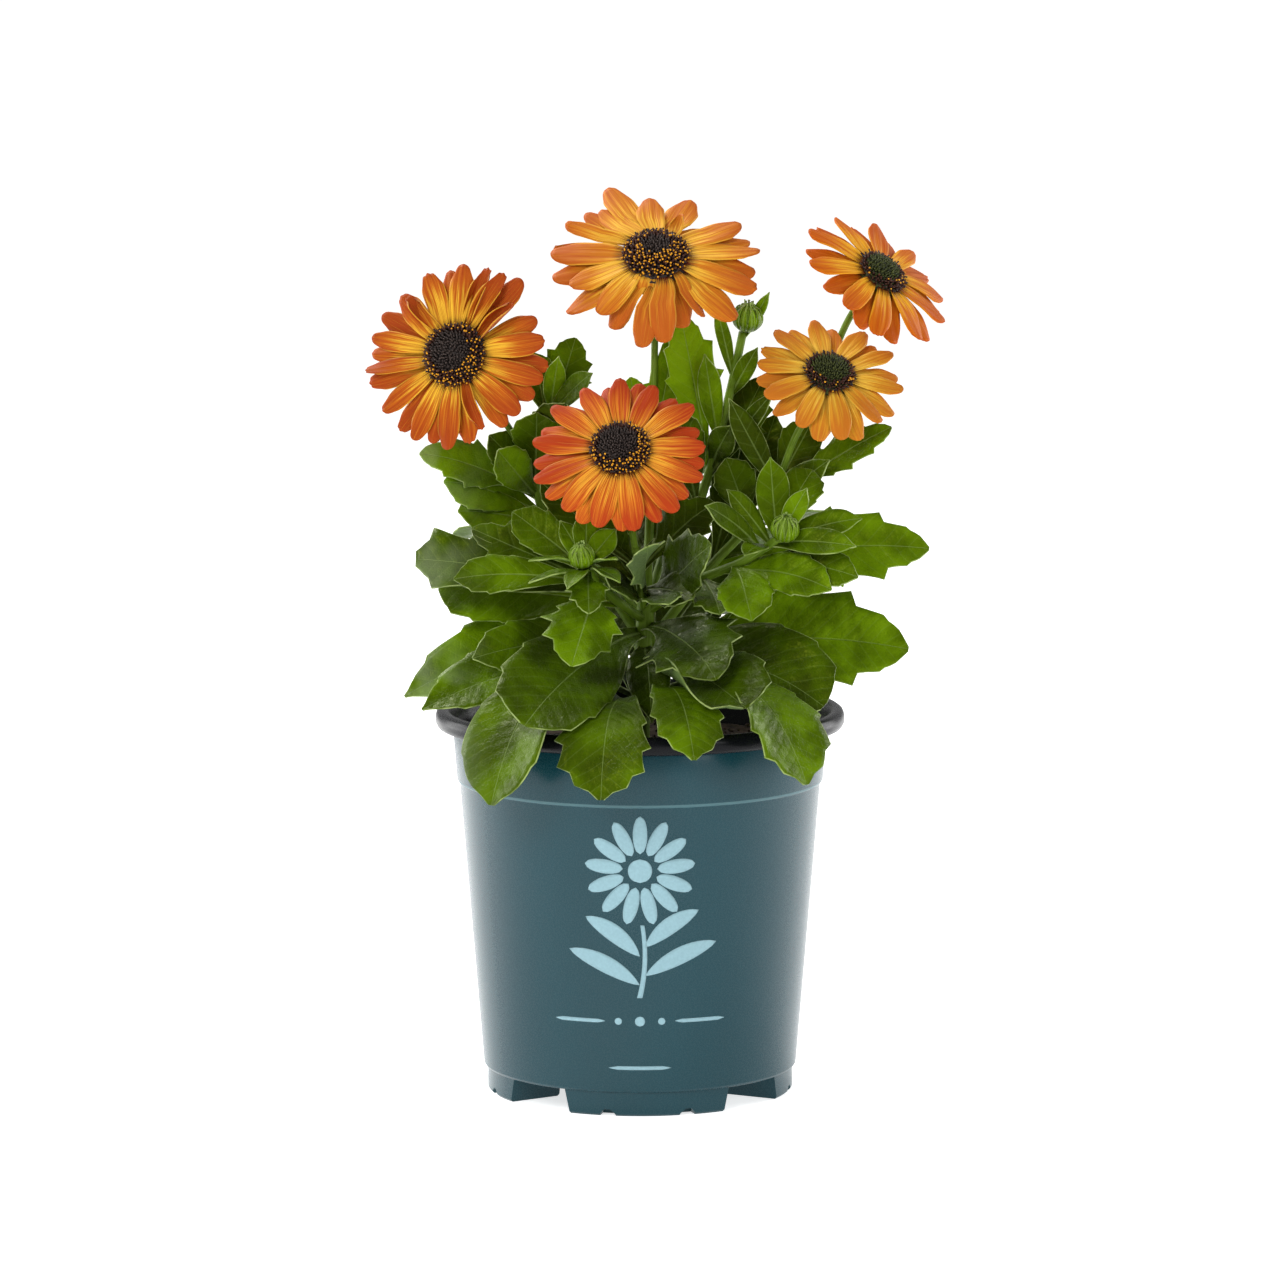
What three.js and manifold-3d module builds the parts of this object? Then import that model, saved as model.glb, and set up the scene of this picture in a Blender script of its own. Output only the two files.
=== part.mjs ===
// An osteospermum (African daisy) in its nursery pot: one plant with five open flower heads and
// four buds, standing in potting mix. Millimetres, +Z up, the pot's feet on the ground at z = 0.
// The viewer's side of the plant is -Y. Each leafy shoot, flower head and disc is one closed solid.
import * as THREE from "three";
import { mergeVertices } from "three/addons/utils/BufferGeometryUtils.js";
import Module from "manifold-3d";

const wasm = await Module();
wasm.setup();

// ---- Driving dimensions -------------------------------------------------------------------
const GAP = 0.3; // running clearance between touching pieces
const POT_HEIGHT = 162;
const RIM_RADIUS = 86;
const WALL = 1.6;
const FOOT_HEIGHT = 10;
const FOOT_COUNT = 4;
const FOOT_ARC = 60; // degrees of the circle that one foot covers
const FOOT_TURN = 3; // degrees that the feet are turned from the front
const FOOT_DEPTH = 24; // radial size of a foot
const SOIL_TOP = 146;
const STEM_RADIUS = 4.2;
const SHOOT_RADIUS = 2.1;
const STALK_RADIUS = 1.5;
const BLADE = 0.8; // thickness of a leaf
const PETAL = 0.7; // thickness of a ray petal
const FOLD = 0.16; // how far a leaf's edges stand above its midrib, as a share of its half width
const COLLAR = 2.2; // thickness of the ring that a head's petals grow from
const DISC_HEIGHT = 0.42; // of the disc's radius
const BUD_RIBS = 5;
// The pot's axis, as seen from the middle of the whole plant's box, which is the origin.
const POT_AXIS = new THREE.Vector3(-6.8, 2.3, 0);

const UP = new THREE.Vector3(0, 0, 1);
const rad = THREE.MathUtils.degToRad;
const vec = (p) => new THREE.Vector3(p[0], p[1], p[2]);

// ---- Solids and how they are joined --------------------------------------------------------

// A closed three.js geometry as a manifold-3d solid.
function solid(geometry) {
  const g = geometry.index ? geometry.toNonIndexed() : geometry.clone();
  const bare = new THREE.BufferGeometry().setAttribute("position", g.getAttribute("position"));
  const merged = mergeVertices(bare, 1e-4);
  return new wasm.Manifold(
    new wasm.Mesh({
      numProp: 3,
      vertProperties: new Float32Array(merged.attributes.position.array),
      triVerts: new Uint32Array(merged.index.array),
    }),
  );
}

// A solid back as a three.js geometry. Slivers under a few hundredths of a millimetre are dropped.
function geometryOf(manifold) {
  const mesh = manifold.simplify(0.05).getMesh();
  const g = new THREE.BufferGeometry();
  const position = new Float32Array(mesh.numVert * 3);
  for (let i = 0; i < mesh.numVert; i++) {
    position.set(mesh.vertProperties.subarray(i * mesh.numProp, i * mesh.numProp + 3), i * 3);
  }
  g.setAttribute("position", new THREE.BufferAttribute(position, 3));
  g.setIndex(new THREE.BufferAttribute(new Uint32Array(mesh.triVerts), 1));
  g.computeVertexNormals();
  return g;
}

const joined = (solids) => wasm.Manifold.union(solids);

// Mulberry's small generator, so that every draw is the same on each build.
function randomFrom(seed) {
  let state = seed >>> 0;
  return () => {
    state = (state + 0x6d2b79f5) >>> 0;
    let t = state;
    t = Math.imul(t ^ (t >>> 15), t | 1);
    t ^= t + Math.imul(t ^ (t >>> 7), t | 61);
    return ((t ^ (t >>> 14)) >>> 0) / 4294967296;
  };
}

function indexed(points, index) {
  const g = new THREE.BufferGeometry();
  const flat = new Float32Array(points.flatMap((p) => p.toArray()));
  g.setAttribute("position", new THREE.BufferAttribute(flat, 3));
  g.setIndex(index);
  return g;
}

// A thin closed blade through rows of points. Each row has left, middle and right, and its normal.
// Both faces are split along the same diagonals, so that a twisted blade keeps its thickness.
function bladeGeometry(rows, thickness) {
  const across = rows[0].points.length;
  const points = [0.5, -0.5].flatMap((side) =>
    rows.flatMap((row) => row.points.map((p) => p.clone().addScaledVector(row.normal, side * thickness))),
  );
  const under = rows.length * across;
  const index = [];
  const quad = (a, b, c, d) => index.push(a, b, c, a, c, d);
  for (let i = 0; i + 1 < rows.length; i++) {
    for (let j = 0; j + 1 < across; j++) {
      const a = i * across + j;
      index.push(a, a + 1, a + 1 + across, a, a + 1 + across, a + across);
      const [e, f, g, h] = [a, a + 1, a + 1 + across, a + across].map((v) => v + under);
      index.push(e, g, f, e, h, g);
    }
    const left = i * across;
    const right = left + across - 1;
    quad(left, left + across, left + across + under, left + under);
    quad(right, right + under, right + across + under, right + across);
  }
  const last = (rows.length - 1) * across;
  for (let j = 0; j + 1 < across; j++) {
    quad(j, j + under, j + 1 + under, j + 1);
    quad(last + j, last + j + 1, last + j + 1 + under, last + j + under);
  }
  return indexed(points, index);
}

// A tube with a regular polygon for its section, along a smooth curve through the points.
function tube(points, radius, sides = 6, steps = 2 * (points.length - 1)) {
  const path = new THREE.CatmullRomCurve3(points.map(vec));
  const section = new THREE.Shape();
  for (let i = 0; i < sides; i++) {
    const a = (2 * Math.PI * i) / sides;
    section[i ? "lineTo" : "moveTo"](radius * Math.cos(a), radius * Math.sin(a));
  }
  section.closePath();
  return new THREE.ExtrudeGeometry(section, { steps, extrudePath: path, bevelEnabled: false });
}

// A turned solid: profile points are [radius, height], and the axis stands along `facing`.
function turned(profile, sides, centre = [0, 0, 0], facing = UP) {
  const g = new THREE.LatheGeometry(profile.map((p) => new THREE.Vector2(p[0], p[1])), sides);
  g.rotateX(Math.PI / 2);
  g.applyQuaternion(new THREE.Quaternion().setFromUnitVectors(UP, facing));
  return g.translate(...centre);
}

// ---- Leaves ---------------------------------------------------------------------------------

// Half widths along a leaf, as shares of the widest: pairs of [how far along, share].
const TOOTHED = [
  [0, 0.14], [0.26, 0.22], [0.42, 0.74], [0.56, 1],
  [0.6, 0.77], [0.77, 0.86], [0.81, 0.55], [1, 0.04],
];
const ROUNDED = [[0, 0.14], [0.22, 0.32], [0.44, 0.8], [0.68, 0.98], [0.9, 0.68], [1, 0.12]];
const POINTED = [[0, 0.14], [0.22, 0.36], [0.42, 0.86], [0.6, 1], [0.82, 0.66], [1, 0.04]];
const BROAD = [[0, 0.14], [0.22, 0.34], [0.42, 0.82], [0.64, 1], [0.82, 0.96], [0.93, 0.7], [1, 0.14]];
const HANGING = [
  [0, 0.14], [0.3, 0.32], [0.6, 0.8], [0.76, 1],
  [0.8, 0.84], [0.89, 0.92], [0.93, 0.6], [1, 0.14],
];
const BLUNT = [
  [0, 0.14], [0.22, 0.34], [0.45, 0.68], [0.7, 0.92],
  [0.74, 0.78], [0.91, 1], [0.95, 0.62], [1, 0.26],
];
const SLIM = [[0, 0.2], [0.35, 0.85], [0.7, 1], [1, 0.06]];
const SMALL = [[0, 0.14], [0.3, 0.5], [0.6, 1], [0.86, 0.8], [1, 0.12]];
const SMALL_UNDER = 21; // leaves narrower than this have the plain small outline
const MIDRIB_FROM = 33; // leaves at least this wide are folded along the midrib

// A leaf from `root` to `tip`. Its midrib is a parabola whose control point stands `arch` above
// the chord, `crest` of the way along it. `face` turns its upper side from the sky (0) towards
// the viewer (90).
function leaf(outline, root, tip, width, arch, face = 0, crest = 0.5) {
  const to = vec(tip);
  const over = root.clone().lerp(to, crest).addScaledVector(UP, arch);
  const midrib = new THREE.QuadraticBezierCurve3(root, over, to);
  const towards = new THREE.Vector3(0, -Math.sin(rad(face)), Math.cos(rad(face)));
  const flat = width < MIDRIB_FROM;
  const form = outline !== SLIM && width < SMALL_UNDER ? SMALL : outline;
  const rows = form.map(([s, share]) => {
    const along = midrib.getTangent(s);
    const side = along.clone().cross(towards).normalize();
    const normal = side.clone().cross(along).normalize();
    const middle = midrib.getPoint(s);
    const half = (share * width) / 2;
    const edge = (sign) =>
      middle.clone().addScaledVector(side, sign * half).addScaledVector(normal, flat ? 0 : FOLD * half);
    return { normal, points: flat ? [edge(-1), edge(1)] : [edge(-1), middle, edge(1)] };
  });
  return bladeGeometry(rows, BLADE);
}

// ---- Buds, cups and stalks ------------------------------------------------------------------

// A closed green bud: an egg whose bracts stand out as ribs.
function bud(centre, facing, radius) {
  const profile = [[0, -0.95], [0.62, -0.7], [1, -0.1], [0.8, 0.55], [0.36, 0.95], [0, 1]];
  const g = turned(profile.map(([r, h]) => [r * radius, h * radius]), BUD_RIBS * 2);
  const p = g.getAttribute("position");
  for (let i = 0; i < p.count; i++) {
    const turn = Math.atan2(p.getY(i), p.getX(i)) / (Math.PI / BUD_RIBS);
    const rib = Math.abs(Math.floor(turn)) % 2 ? 0.86 : 1.06;
    p.setXYZ(i, p.getX(i) * rib, p.getY(i) * rib, p.getZ(i));
  }
  g.applyQuaternion(new THREE.Quaternion().setFromUnitVectors(UP, facing));
  return g.translate(...centre);
}

// The green cup of bracts that holds a flower head from behind, on its stalk.
function cup(bloom) {
  const r = bloom.disc;
  const brim = -GAP - COLLAR / 2;
  const profile = [[0, -8], [STALK_RADIUS * 1.2, -8], [0.66 * r, -4.2], [0.74 * r, brim], [0, brim]];
  return turned(profile, 8, bloom.at, facingOf(bloom));
}

// ---- Flower heads ---------------------------------------------------------------------------

// Petals out of line, by their place round the head: how far they are turned aside (degrees), and
// how far they reach from the head's middle.
const TOP_ODD = {
  0: [-5, 35.5], 1: [8, 39.5], 2: [4, 20], 3: [10, 34], 4: [4.5, 41], 5: [3, 41.5], 6: [0, 44],
  7: [1.5, 42], 8: [0, 45], 9: [7, 44.5], 10: [7.5, 35], 11: [9, 33], 12: [9, 42], 13: [8, 43.5],
  14: [3, 19], 15: [5, 36], 16: [-1.5, 37], 17: [-2, 45], 18: [-2, 39], 19: [-3, 44], 20: [-2, 44],
  21: [-6, 44], 22: [-7, 43], 23: [-5.5, 41], 24: [-9, 38], 25: [-7.5, 48.5],
};
const LEFT_ODD = {
  0: [1, 38.5], 1: [2, 41], 2: [1, 41], 3: [-2, 41.5], 4: [-3, 33], 6: [2, 39], 7: [6, 40],
  19: [8, 40], 20: [2, 40], 24: [2, 36], 25: [-4, 33], 26: [3, 37.5],
};

// `turn` is how far the head looks to the viewer's right, and `lift` how far it looks up.
// `cup` lifts the petals, `droop` bends all their tips back and `sag` only the lowest ones.
const BLOOMS = [
  {
    name: "left", at: [-76, -30, 313.5], turn: -18, lift: 15, radius: 39.4, disc: 12.2,
    rays: 28, cup: 1.6, droop: 3, sag: 0, odd: LEFT_ODD,
  },
  {
    name: "top", at: [6.5, 0, 351.2], turn: 0, lift: 49, radius: 43.5, disc: 13,
    rays: 26, cup: 1, droop: 2.5, sag: 5, odd: TOP_ODD,
  },
  {
    name: "far_right", at: [100.5, 6, 343.5], turn: 47, lift: 45, radius: 34.5, disc: 9.8,
    rays: 20, cup: 0.6, droop: 4, sag: 2,
  },
  {
    name: "right", at: [78.5, -18, 304], turn: 15, lift: 47, radius: 31.5, disc: 9.6,
    rays: 20, cup: 0.8, droop: 2.4, sag: 4,
  },
  {
    name: "centre", at: [-8, -46, 275.5], turn: -2, lift: 38, radius: 36.5, disc: 11.4,
    rays: 26, cup: 0.6, droop: 3.4, sag: 3,
  },
];

function facingOf(bloom) {
  const [a, e] = [rad(bloom.turn), rad(bloom.lift)];
  return new THREE.Vector3(Math.sin(a) * Math.cos(e), -Math.cos(a) * Math.cos(e), Math.sin(e));
}

// The head's own axes: across to the right, up the face, and out of it.
function axesOf(bloom) {
  const out = facingOf(bloom);
  const right = UP.clone().cross(out).normalize();
  return { right, up: out.clone().cross(right), out };
}

// Half widths along a ray petal beyond the collar, as shares of the widest.
const RAY = [[0.13, 0], [0.5, 0.86], [0.82, 0.96], [1, 0.34]];

// The ray petals of one head, in an upper and a lower layer in turn. All grow from the rim of one
// flat collar, where each petal holds its own share of the rim and is as thick as the collar.
function corolla(bloom, seed) {
  const random = randomFrom(seed);
  const { right, up, out } = axesOf(bloom);
  const centre = vec(bloom.at);
  const start = bloom.disc * 0.72;
  const share = (2 * Math.PI) / bloom.rays;
  const outwards = (angle) =>
    right.clone().multiplyScalar(Math.sin(angle)).addScaledVector(up, Math.cos(angle));
  const aboveAndBelow = (p) => [1, -1].map((sign) => p.clone().addScaledVector(out, (sign * COLLAR) / 2));
  const position = aboveAndBelow(centre);
  for (let i = 0; i < bloom.rays; i++) {
    position.push(...aboveAndBelow(centre.clone().addScaledVector(outwards((i - 0.5) * share), start)));
  }
  const index = [];
  for (let i = 0; i < bloom.rays; i++) {
    const layer = i % 2 ? -1 : 1;
    const angle = (i + 0.24 * (random() - 0.5)) * share;
    const usual = start + (bloom.radius - start) * (0.94 + 0.1 * random() - (i % 2 ? 0.03 : 0));
    const width = share * bloom.radius * (0.84 + 0.14 * random());
    const [aside, reach] = bloom.odd?.[i] ?? [0, usual];
    const length = reach - start;
    const swing = (s) => rad(aside) * THREE.MathUtils.clamp((s - 0.13) / 0.37, 0, 1);
    const outward = (s) => outwards(angle + swing(s));
    const lift = bloom.cup + 0.5 * layer + 0.5 * (random() - 0.5);
    const fall = bloom.droop + bloom.sag * Math.max(0, -Math.cos(angle)) ** 2;
    const at = (s) =>
      centre
        .clone()
        .addScaledVector(outward(s), start + length * s)
        .addScaledVector(out, layer * 0.8 + lift * s - fall * s * s);
    const [here, next] = [2 + 2 * i, 2 + 2 * ((i + 1) % bloom.rays)];
    let section = [here, here + 1, next + 1, next];
    index.push(0, section[3], section[0], 1, section[1], section[2]);
    for (const [s, wide] of RAY) {
      const side = outward(s).cross(out).normalize();
      const along = at(s + 0.01).sub(at(s - 0.01)).normalize();
      const normal = side.clone().cross(along).normalize();
      const half = wide ? (wide * width) / 2 : 0.46 * share * (start + length * s);
      const n = position.length;
      for (const [w, h] of [[-1, 1], [-1, -1], [1, -1], [1, 1]]) {
        const corner = at(s).addScaledVector(side, w * half);
        position.push(corner.addScaledVector(normal, (h * PETAL) / 2));
      }
      for (let k = 0; k < 4; k++) {
        const [a, b, c, d] = [section[k], section[(k + 1) % 4], n + ((k + 1) % 4), n + k];
        // upper and lower face are split alike
        if (k === 1) index.push(a, d, b, b, d, c);
        else index.push(a, d, c, a, c, b);
      }
      section = [n, n + 1, n + 2, n + 3];
    }
    index.push(section[0], section[2], section[1], section[0], section[3], section[2]);
  }
  return indexed(position, index);
}

// The disc of tight florets: a dome whose surface is raised and sunk in turn, row by row.
function discOf(bloom) {
  const { right, up, out } = axesOf(bloom);
  const [rings, around] = [4, 15];
  const relief = 0.055 * bloom.disc;
  const base = COLLAR / 2 + GAP;
  const rise = DISC_HEIGHT * bloom.disc;
  const point = (radius, angle, height) =>
    vec(bloom.at)
      .addScaledVector(right, radius * Math.sin(angle))
      .addScaledVector(up, radius * Math.cos(angle))
      .addScaledVector(out, base + height);
  const position = [point(0, 0, 0), point(0, 0, rise + relief)];
  for (let ring = 0; ring <= rings; ring++) {
    const share = 1 - ring / (rings + 0.6);
    for (let k = 0; k < around; k++) {
      const angle = (2 * Math.PI * (k + 0.5 * (ring % 2))) / around;
      const bump = relief * ((k + ring) % 2 ? 1 : -1);
      const dome = rise * Math.cos((Math.PI / 2) * share ** 1.4) ** 0.7;
      position.push(point(bloom.disc * share, angle, ring === 0 ? 0 : dome + bump));
    }
  }
  const at = (ring, k) => 2 + ring * around + (k % around);
  const index = [];
  for (let k = 0; k < around; k++) {
    index.push(0, at(0, k), at(0, k + 1), 1, at(rings, k + 1), at(rings, k));
    for (let ring = 0; ring < rings; ring++) {
      const shift = ring % 2; // rows stand half a floret apart
      index.push(at(ring, k), at(ring + 1, k + shift), at(ring, k + 1));
      index.push(at(ring, k + 1 - shift), at(ring + 1, k), at(ring + 1, k + 1));
    }
  }
  return indexed(position, index);
}

// ---- The green plant ------------------------------------------------------------------------

// Each shoot has a stem through hand-set points, and leaves. A leaf's row is its outline, how high
// on the stem it springs, its tip, its width, its arch, its face, and its crest if that isn't the
// middle. `buds` are [middle, radius, turn, lift]. `stalks` are flower stalks: they spring at a
// height, pass through points and end in the cup of a head.
const SHOOTS = [
  {
    name: "main_stem",
    radius: STEM_RADIUS,
    stem: [[0, -5, 118], [0, -5, 146], [1, -7, 175], [2, -8, 200], [3, -8, 214]],
    leaves: [
      [HANGING, 166, [-61, -83, 134], 43, 64, 0, 0.77],
      [HANGING, 159, [-16, -100, 139], 38, 56, 0, 0.8],
      [HANGING, 158, [22, -97, 155], 30, 44, 0, 0.75],
      [HANGING, 164, [68, -86, 143], 40, 60, 0, 0.77],
      [BROAD, 195, [-47, -88, 168], 44, 9, 58],
      [BROAD, 186, [43, -86, 175], 40, 8, 42],
      [TOOTHED, 197, [31, -76, 185], 46, 12, 55],
      [BROAD, 183, [76, -44, 169], 42, 20, 52],
      [TOOTHED, 180, [113, 4, 186], 49, 16, 68],
      [ROUNDED, 176, [82, 10, 203], 28, 6, 60],
      [POINTED, 178, [-98, -30, 171], 32.5, 28, 60],
      [POINTED, 180, [-90, -52, 169], 32.5, 16, 40],
      [SLIM, 190, [5, -50, 163], 18, 10, 60],
      [ROUNDED, 192, [-69, -50, 190], 22, 6, 65],
      [ROUNDED, 182, [-72, 52, 174], 32, 30],
      [HANGING, 163, [-30, 94, 146], 32, 62, 0, 0.79],
      [HANGING, 166, [26, 96, 148], 32, 60, 0, 0.79],
      [ROUNDED, 184, [72, 60, 170], 32, 30],
      [TOOTHED, 186, [-30, 66, 192], 32, 14, -30],
      [ROUNDED, 181, [-26, 34, 214], 28, 4, 50],
      [ROUNDED, 174, [6, 42, 222], 30, 2, 45],
      [ROUNDED, 179, [36, 34, 220], 30, 4, 50],
      [TOOTHED, 184, [42, 56, 194], 32, 14, -30],
    ],
  },
  {
    name: "front_left_shoot",
    radius: SHOOT_RADIUS,
    stem: [[2, -8, 200], [-8, -23, 209], [-17, -36, 219], [-23, -45, 229]],
    buds: [[[-24, -47, 232], 4.8, -10, 62]],
    leaves: [
      [TOOTHED, 219, [-28, -72, 190], 34, 4, 55],
      [TOOTHED, 226, [-21, -66, 211], 18, 3, 45],
      [BROAD, 209, [-84, -20, 216], 30, 4, 65],
      [BLUNT, 214, [-93, -32, 229], 26, 6, 60],
      [ROUNDED, 219, [-77, -42, 222], 17, 6, 60],
      [TOOTHED, 217, [-70, -26, 241], 22, 2, 60],
      [ROUNDED, 222, [-53, -26, 248], 18, 2, 65],
      [SLIM, 228, [-33, -39, 246], 9, 0, 60],
      [SLIM, 228, [-22, -40, 250], 11, 0, 75],
      [SLIM, 228, [-10, -45, 243], 11, 0, 60],
      [SLIM, 227, [-9, -55, 232], 7, 3],
      [SLIM, 226, [-8, -60, 223], 9, 4],
      [SLIM, 226, [-30, -64, 221], 8, 4],
      [SLIM, 226, [-46, -52, 231], 9, 5],
      [SLIM, 225, [-46, -54, 222], 8, 4],
    ],
  },
  {
    name: "front_right_shoot",
    radius: SHOOT_RADIUS,
    stem: [[2, -8, 203], [20, -15, 216], [43, -24, 227], [58, -33, 238]],
    buds: [[[60, -36, 242], 5.2, 10, 62]],
    leaves: [
      [ROUNDED, 226, [90, -44, 223], 17, 5, 65],
      [SLIM, 235, [89, -45, 236], 12, 3, 60],
      [SLIM, 237, [92, -33, 246], 12, 3, 60],
      [SLIM, 234, [43, -50, 233], 9, 3, 30],
      [SLIM, 232, [27, -46, 253], 10, 4, 60],
      [SLIM, 235, [36, -31, 258], 9, 2, 60],
      [SLIM, 237, [54, -27, 271], 14, 0, 70],
      [SLIM, 238, [69, -36, 259], 9, 0, 70],
      [ROUNDED, 236, [72, -13, 264], 18, 4, 60],
      [ROUNDED, 222, [79, -46, 218], 19, 8, 60],
      [ROUNDED, 225, [46, -52, 206], 23, 8, 50],
      [TOOTHED, 219, [33, -46, 208], 22, 4, 55],
    ],
  },
  {
    name: "centre_shoot",
    radius: SHOOT_RADIUS,
    stem: [[2, -9, 205], [0, -19, 218], [-2, -25, 233]],
    stalks: [{ bloom: 4, height: 232, via: [[-5, -31, 250]] }],
    leaves: [
      [TOOTHED, 208, [29, -50, 237], 32, 2, 62],
      [TOOTHED, 222, [31, -28, 252], 24, 4, 60],
      [ROUNDED, 214, [22, -42, 214], 18, 4, 60],
      [TOOTHED, 224, [-42, -15, 255], 20.8, 0, 60],
      [ROUNDED, 216, [-20, -22, 244], 20, 0, 65],
      [ROUNDED, 210, [-12, -46, 219], 20, 3, 60],
      [TOOTHED, 211, [3, -68, 239], 20.8, 2, 62],
    ],
  },
  {
    name: "left_shoot",
    radius: SHOOT_RADIUS,
    stem: [[1, -7, 191], [-20, 2, 221], [-42, 6, 248], [-43, 8, 270], [-37, 6, 288]],
    stalks: [{ bloom: 0, height: 262, via: [[-58, 0, 285]] }],
    leaves: [
      [TOOTHED, 250, [-92, -6, 270], 23, 6, 60],
      [ROUNDED, 242, [-82, -4, 258], 22, 6, 60],
      [ROUNDED, 238, [-76, -8, 246], 20.8, 4, 60],
      [ROUNDED, 256, [-63, 0, 277], 16, 0, 60],
      [TOOTHED, 280, [-27, 9, 317], 23, 0, 75],
      [SLIM, 286, [-34, 0, 310], 9, 0, 80],
      [SLIM, 284, [-20, -8, 304], 10, 3, 60],
      [ROUNDED, 282, [-45, 8, 311], 15, 0, 80],
      [ROUNDED, 256, [-43, -5, 287], 20.8, 0, 70],
      [TOOTHED, 266, [-16, 6, 285], 18, 2, 60],
      [ROUNDED, 260, [-31, -8, 291], 20.8, 0, 70],
    ],
  },
  {
    name: "tall_shoot",
    radius: SHOOT_RADIUS,
    stem: [[3, -8, 208], [4, 2, 240], [5, 8, 270]],
    stalks: [{ bloom: 1, height: 269, via: [[6, 10, 305]] }],
    leaves: [
      [TOOTHED, 264, [-4, 14, 300], 17, 0, 70],
      [ROUNDED, 228, [20, 22, 256], 22, 2, 60],
      [ROUNDED, 220, [-8, 32, 252], 24, 2, 55],
      [TOOTHED, 262, [15, 12, 319], 18, 0, 75],
      [ROUNDED, 250, [-22, 26, 268], 20, 6, -30],
      [ROUNDED, 246, [12, 38, 262], 20, 6, -30],
    ],
  },
  {
    name: "bud_shoot",
    radius: SHOOT_RADIUS,
    stem: [[3, -8, 204], [20, 2, 235], [31, 4, 268], [38, 4, 296], [43, 3, 320]],
    buds: [[[45, 2, 326], 5.6, 10, 70]],
    leaves: [
      [TOOTHED, 262, [17, 6, 327], 25, 0, 75],
      [TOOTHED, 258, [52, 12, 300], 22, 0, 75],
      [SLIM, 300, [32, 0, 331], 6, 0, 75],
      [SLIM, 274, [27, 0, 311], 10, 0, 75],
      [SLIM, 292, [49, -2, 314], 8, 0, 75],
      [SLIM, 264, [38, -10, 282], 12, 0, 70],
      [ROUNDED, 246, [16, -5, 288], 18, 0, 75],
      [SLIM, 258, [56, -12, 297], 8, 2, 70],
      [SLIM, 316, [54, 0, 337], 5, 0, 75],
    ],
  },
  {
    name: "right_shoot",
    radius: SHOOT_RADIUS,
    stem: [[2, -8, 188], [30, 0, 222], [50, -3, 244], [58, -6, 258]],
    stalks: [
      { bloom: 3, height: 257, via: [[66, -11, 280]] },
      { bloom: 2, height: 250, via: [[72, 8, 286], [86, 10, 322]] },
    ],
    leaves: [
      [TOOTHED, 220, [121, -6, 230], 34, 8, 65],
      [TOOTHED, 250, [105, -5, 281], 17, 4, 60],
      [SLIM, 246, [79, -12, 268], 12, 2, 60],
      [SLIM, 256, [37, -14, 294], 11, 0, 70],
      [ROUNDED, 240, [36, -6, 268], 18, 0, 70],
      [ROUNDED, 212, [45, 13, 239], 18, 0, 60],
      [ROUNDED, 232, [57, 15, 284], 18.5, 0, 60],
      [ROUNDED, 222, [43, 17, 272], 18.5, 0, 60],
      [ROUNDED, 254, [72, 6, 282], 18, 0, 70],
      [ROUNDED, 234, [84, 42, 236], 24, 10, -20],
    ],
  },
  {
    name: "back_shoot",
    radius: SHOOT_RADIUS,
    stem: [[2, -8, 196], [9, 14, 222], [20, 34, 244], [22, 40, 256]],
    buds: [[[23, 43, 260], 5, 160, 60]],
    leaves: [
      [TOOTHED, 222, [68, 52, 222], 28, 10, -30],
      [TOOTHED, 228, [18, 84, 222], 30, 10, -40],
      [ROUNDED, 238, [60, 44, 256], 22, 6, -30],
      [ROUNDED, 244, [32, 76, 248], 20, 6, -40],
      [ROUNDED, 246, [-4, 66, 262], 20, 6, -40],
      [SLIM, 252, [12, 46, 278], 12, 2, -60],
    ],
  },
  {
    name: "back_left_shoot",
    radius: SHOOT_RADIUS,
    stem: [[2, -8, 201], [-16, 12, 220], [-30, 32, 238], [-36, 38, 250]],
    leaves: [
      [ROUNDED, 214, [-84, 30, 214], 30, 12, -20],
      [TOOTHED, 218, [-44, 82, 216], 30, 12, -30],
      [TOOTHED, 230, [-80, 48, 228], 26, 8, -30],
      [ROUNDED, 236, [-20, 74, 244], 24, 8, -40],
    ],
  },
];

// The point of a stem at a height. Stems climb all the way.
function pointAt(line, height) {
  let [low, high] = [0, 1];
  for (let i = 0; i < 24; i++) {
    const middle = (low + high) / 2;
    if (line.getPoint(middle).z < height) low = middle;
    else high = middle;
  }
  return line.getPoint(low);
}

function stalkPoints(line, stalk) {
  const bloom = BLOOMS[stalk.bloom];
  const behind = (d) => vec(bloom.at).addScaledVector(facingOf(bloom), -d).toArray();
  return [pointAt(line, stalk.height).toArray(), ...stalk.via, behind(14), behind(6)];
}

function shootSolid(shoot) {
  const line = new THREE.CatmullRomCurve3(shoot.stem.map(vec));
  const pieces = [solid(tube(shoot.stem, shoot.radius, shoot.radius > 3 ? 8 : 5))];
  for (const [outline, height, ...form] of shoot.leaves) {
    pieces.push(solid(leaf(outline, pointAt(line, height), ...form)));
  }
  for (const [middle, radius, turn, lift] of shoot.buds ?? []) {
    pieces.push(solid(bud(middle, facingOf({ turn, lift }), radius)));
  }
  for (const stalk of shoot.stalks ?? []) {
    pieces.push(solid(tube(stalkPoints(line, stalk), STALK_RADIUS, 5)));
    pieces.push(solid(cup(BLOOMS[stalk.bloom])));
  }
  return joined(pieces);
}

// ---- The pot and its filling ------------------------------------------------------------------

// A block that covers a slice of the circle from radius `near` to `far`.
function slice(near, far, low, high, middle, arc) {
  const shape = new THREE.Shape();
  const [a, b] = [rad(middle - arc / 2), rad(middle + arc / 2)];
  shape.absarc(0, 0, far, a, b, false);
  shape.absarc(0, 0, near, b, a, true);
  shape.closePath();
  const g = new THREE.ExtrudeGeometry(shape, { depth: high - low, bevelEnabled: false, curveSegments: 5 });
  return g.translate(0, 0, low);
}

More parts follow.
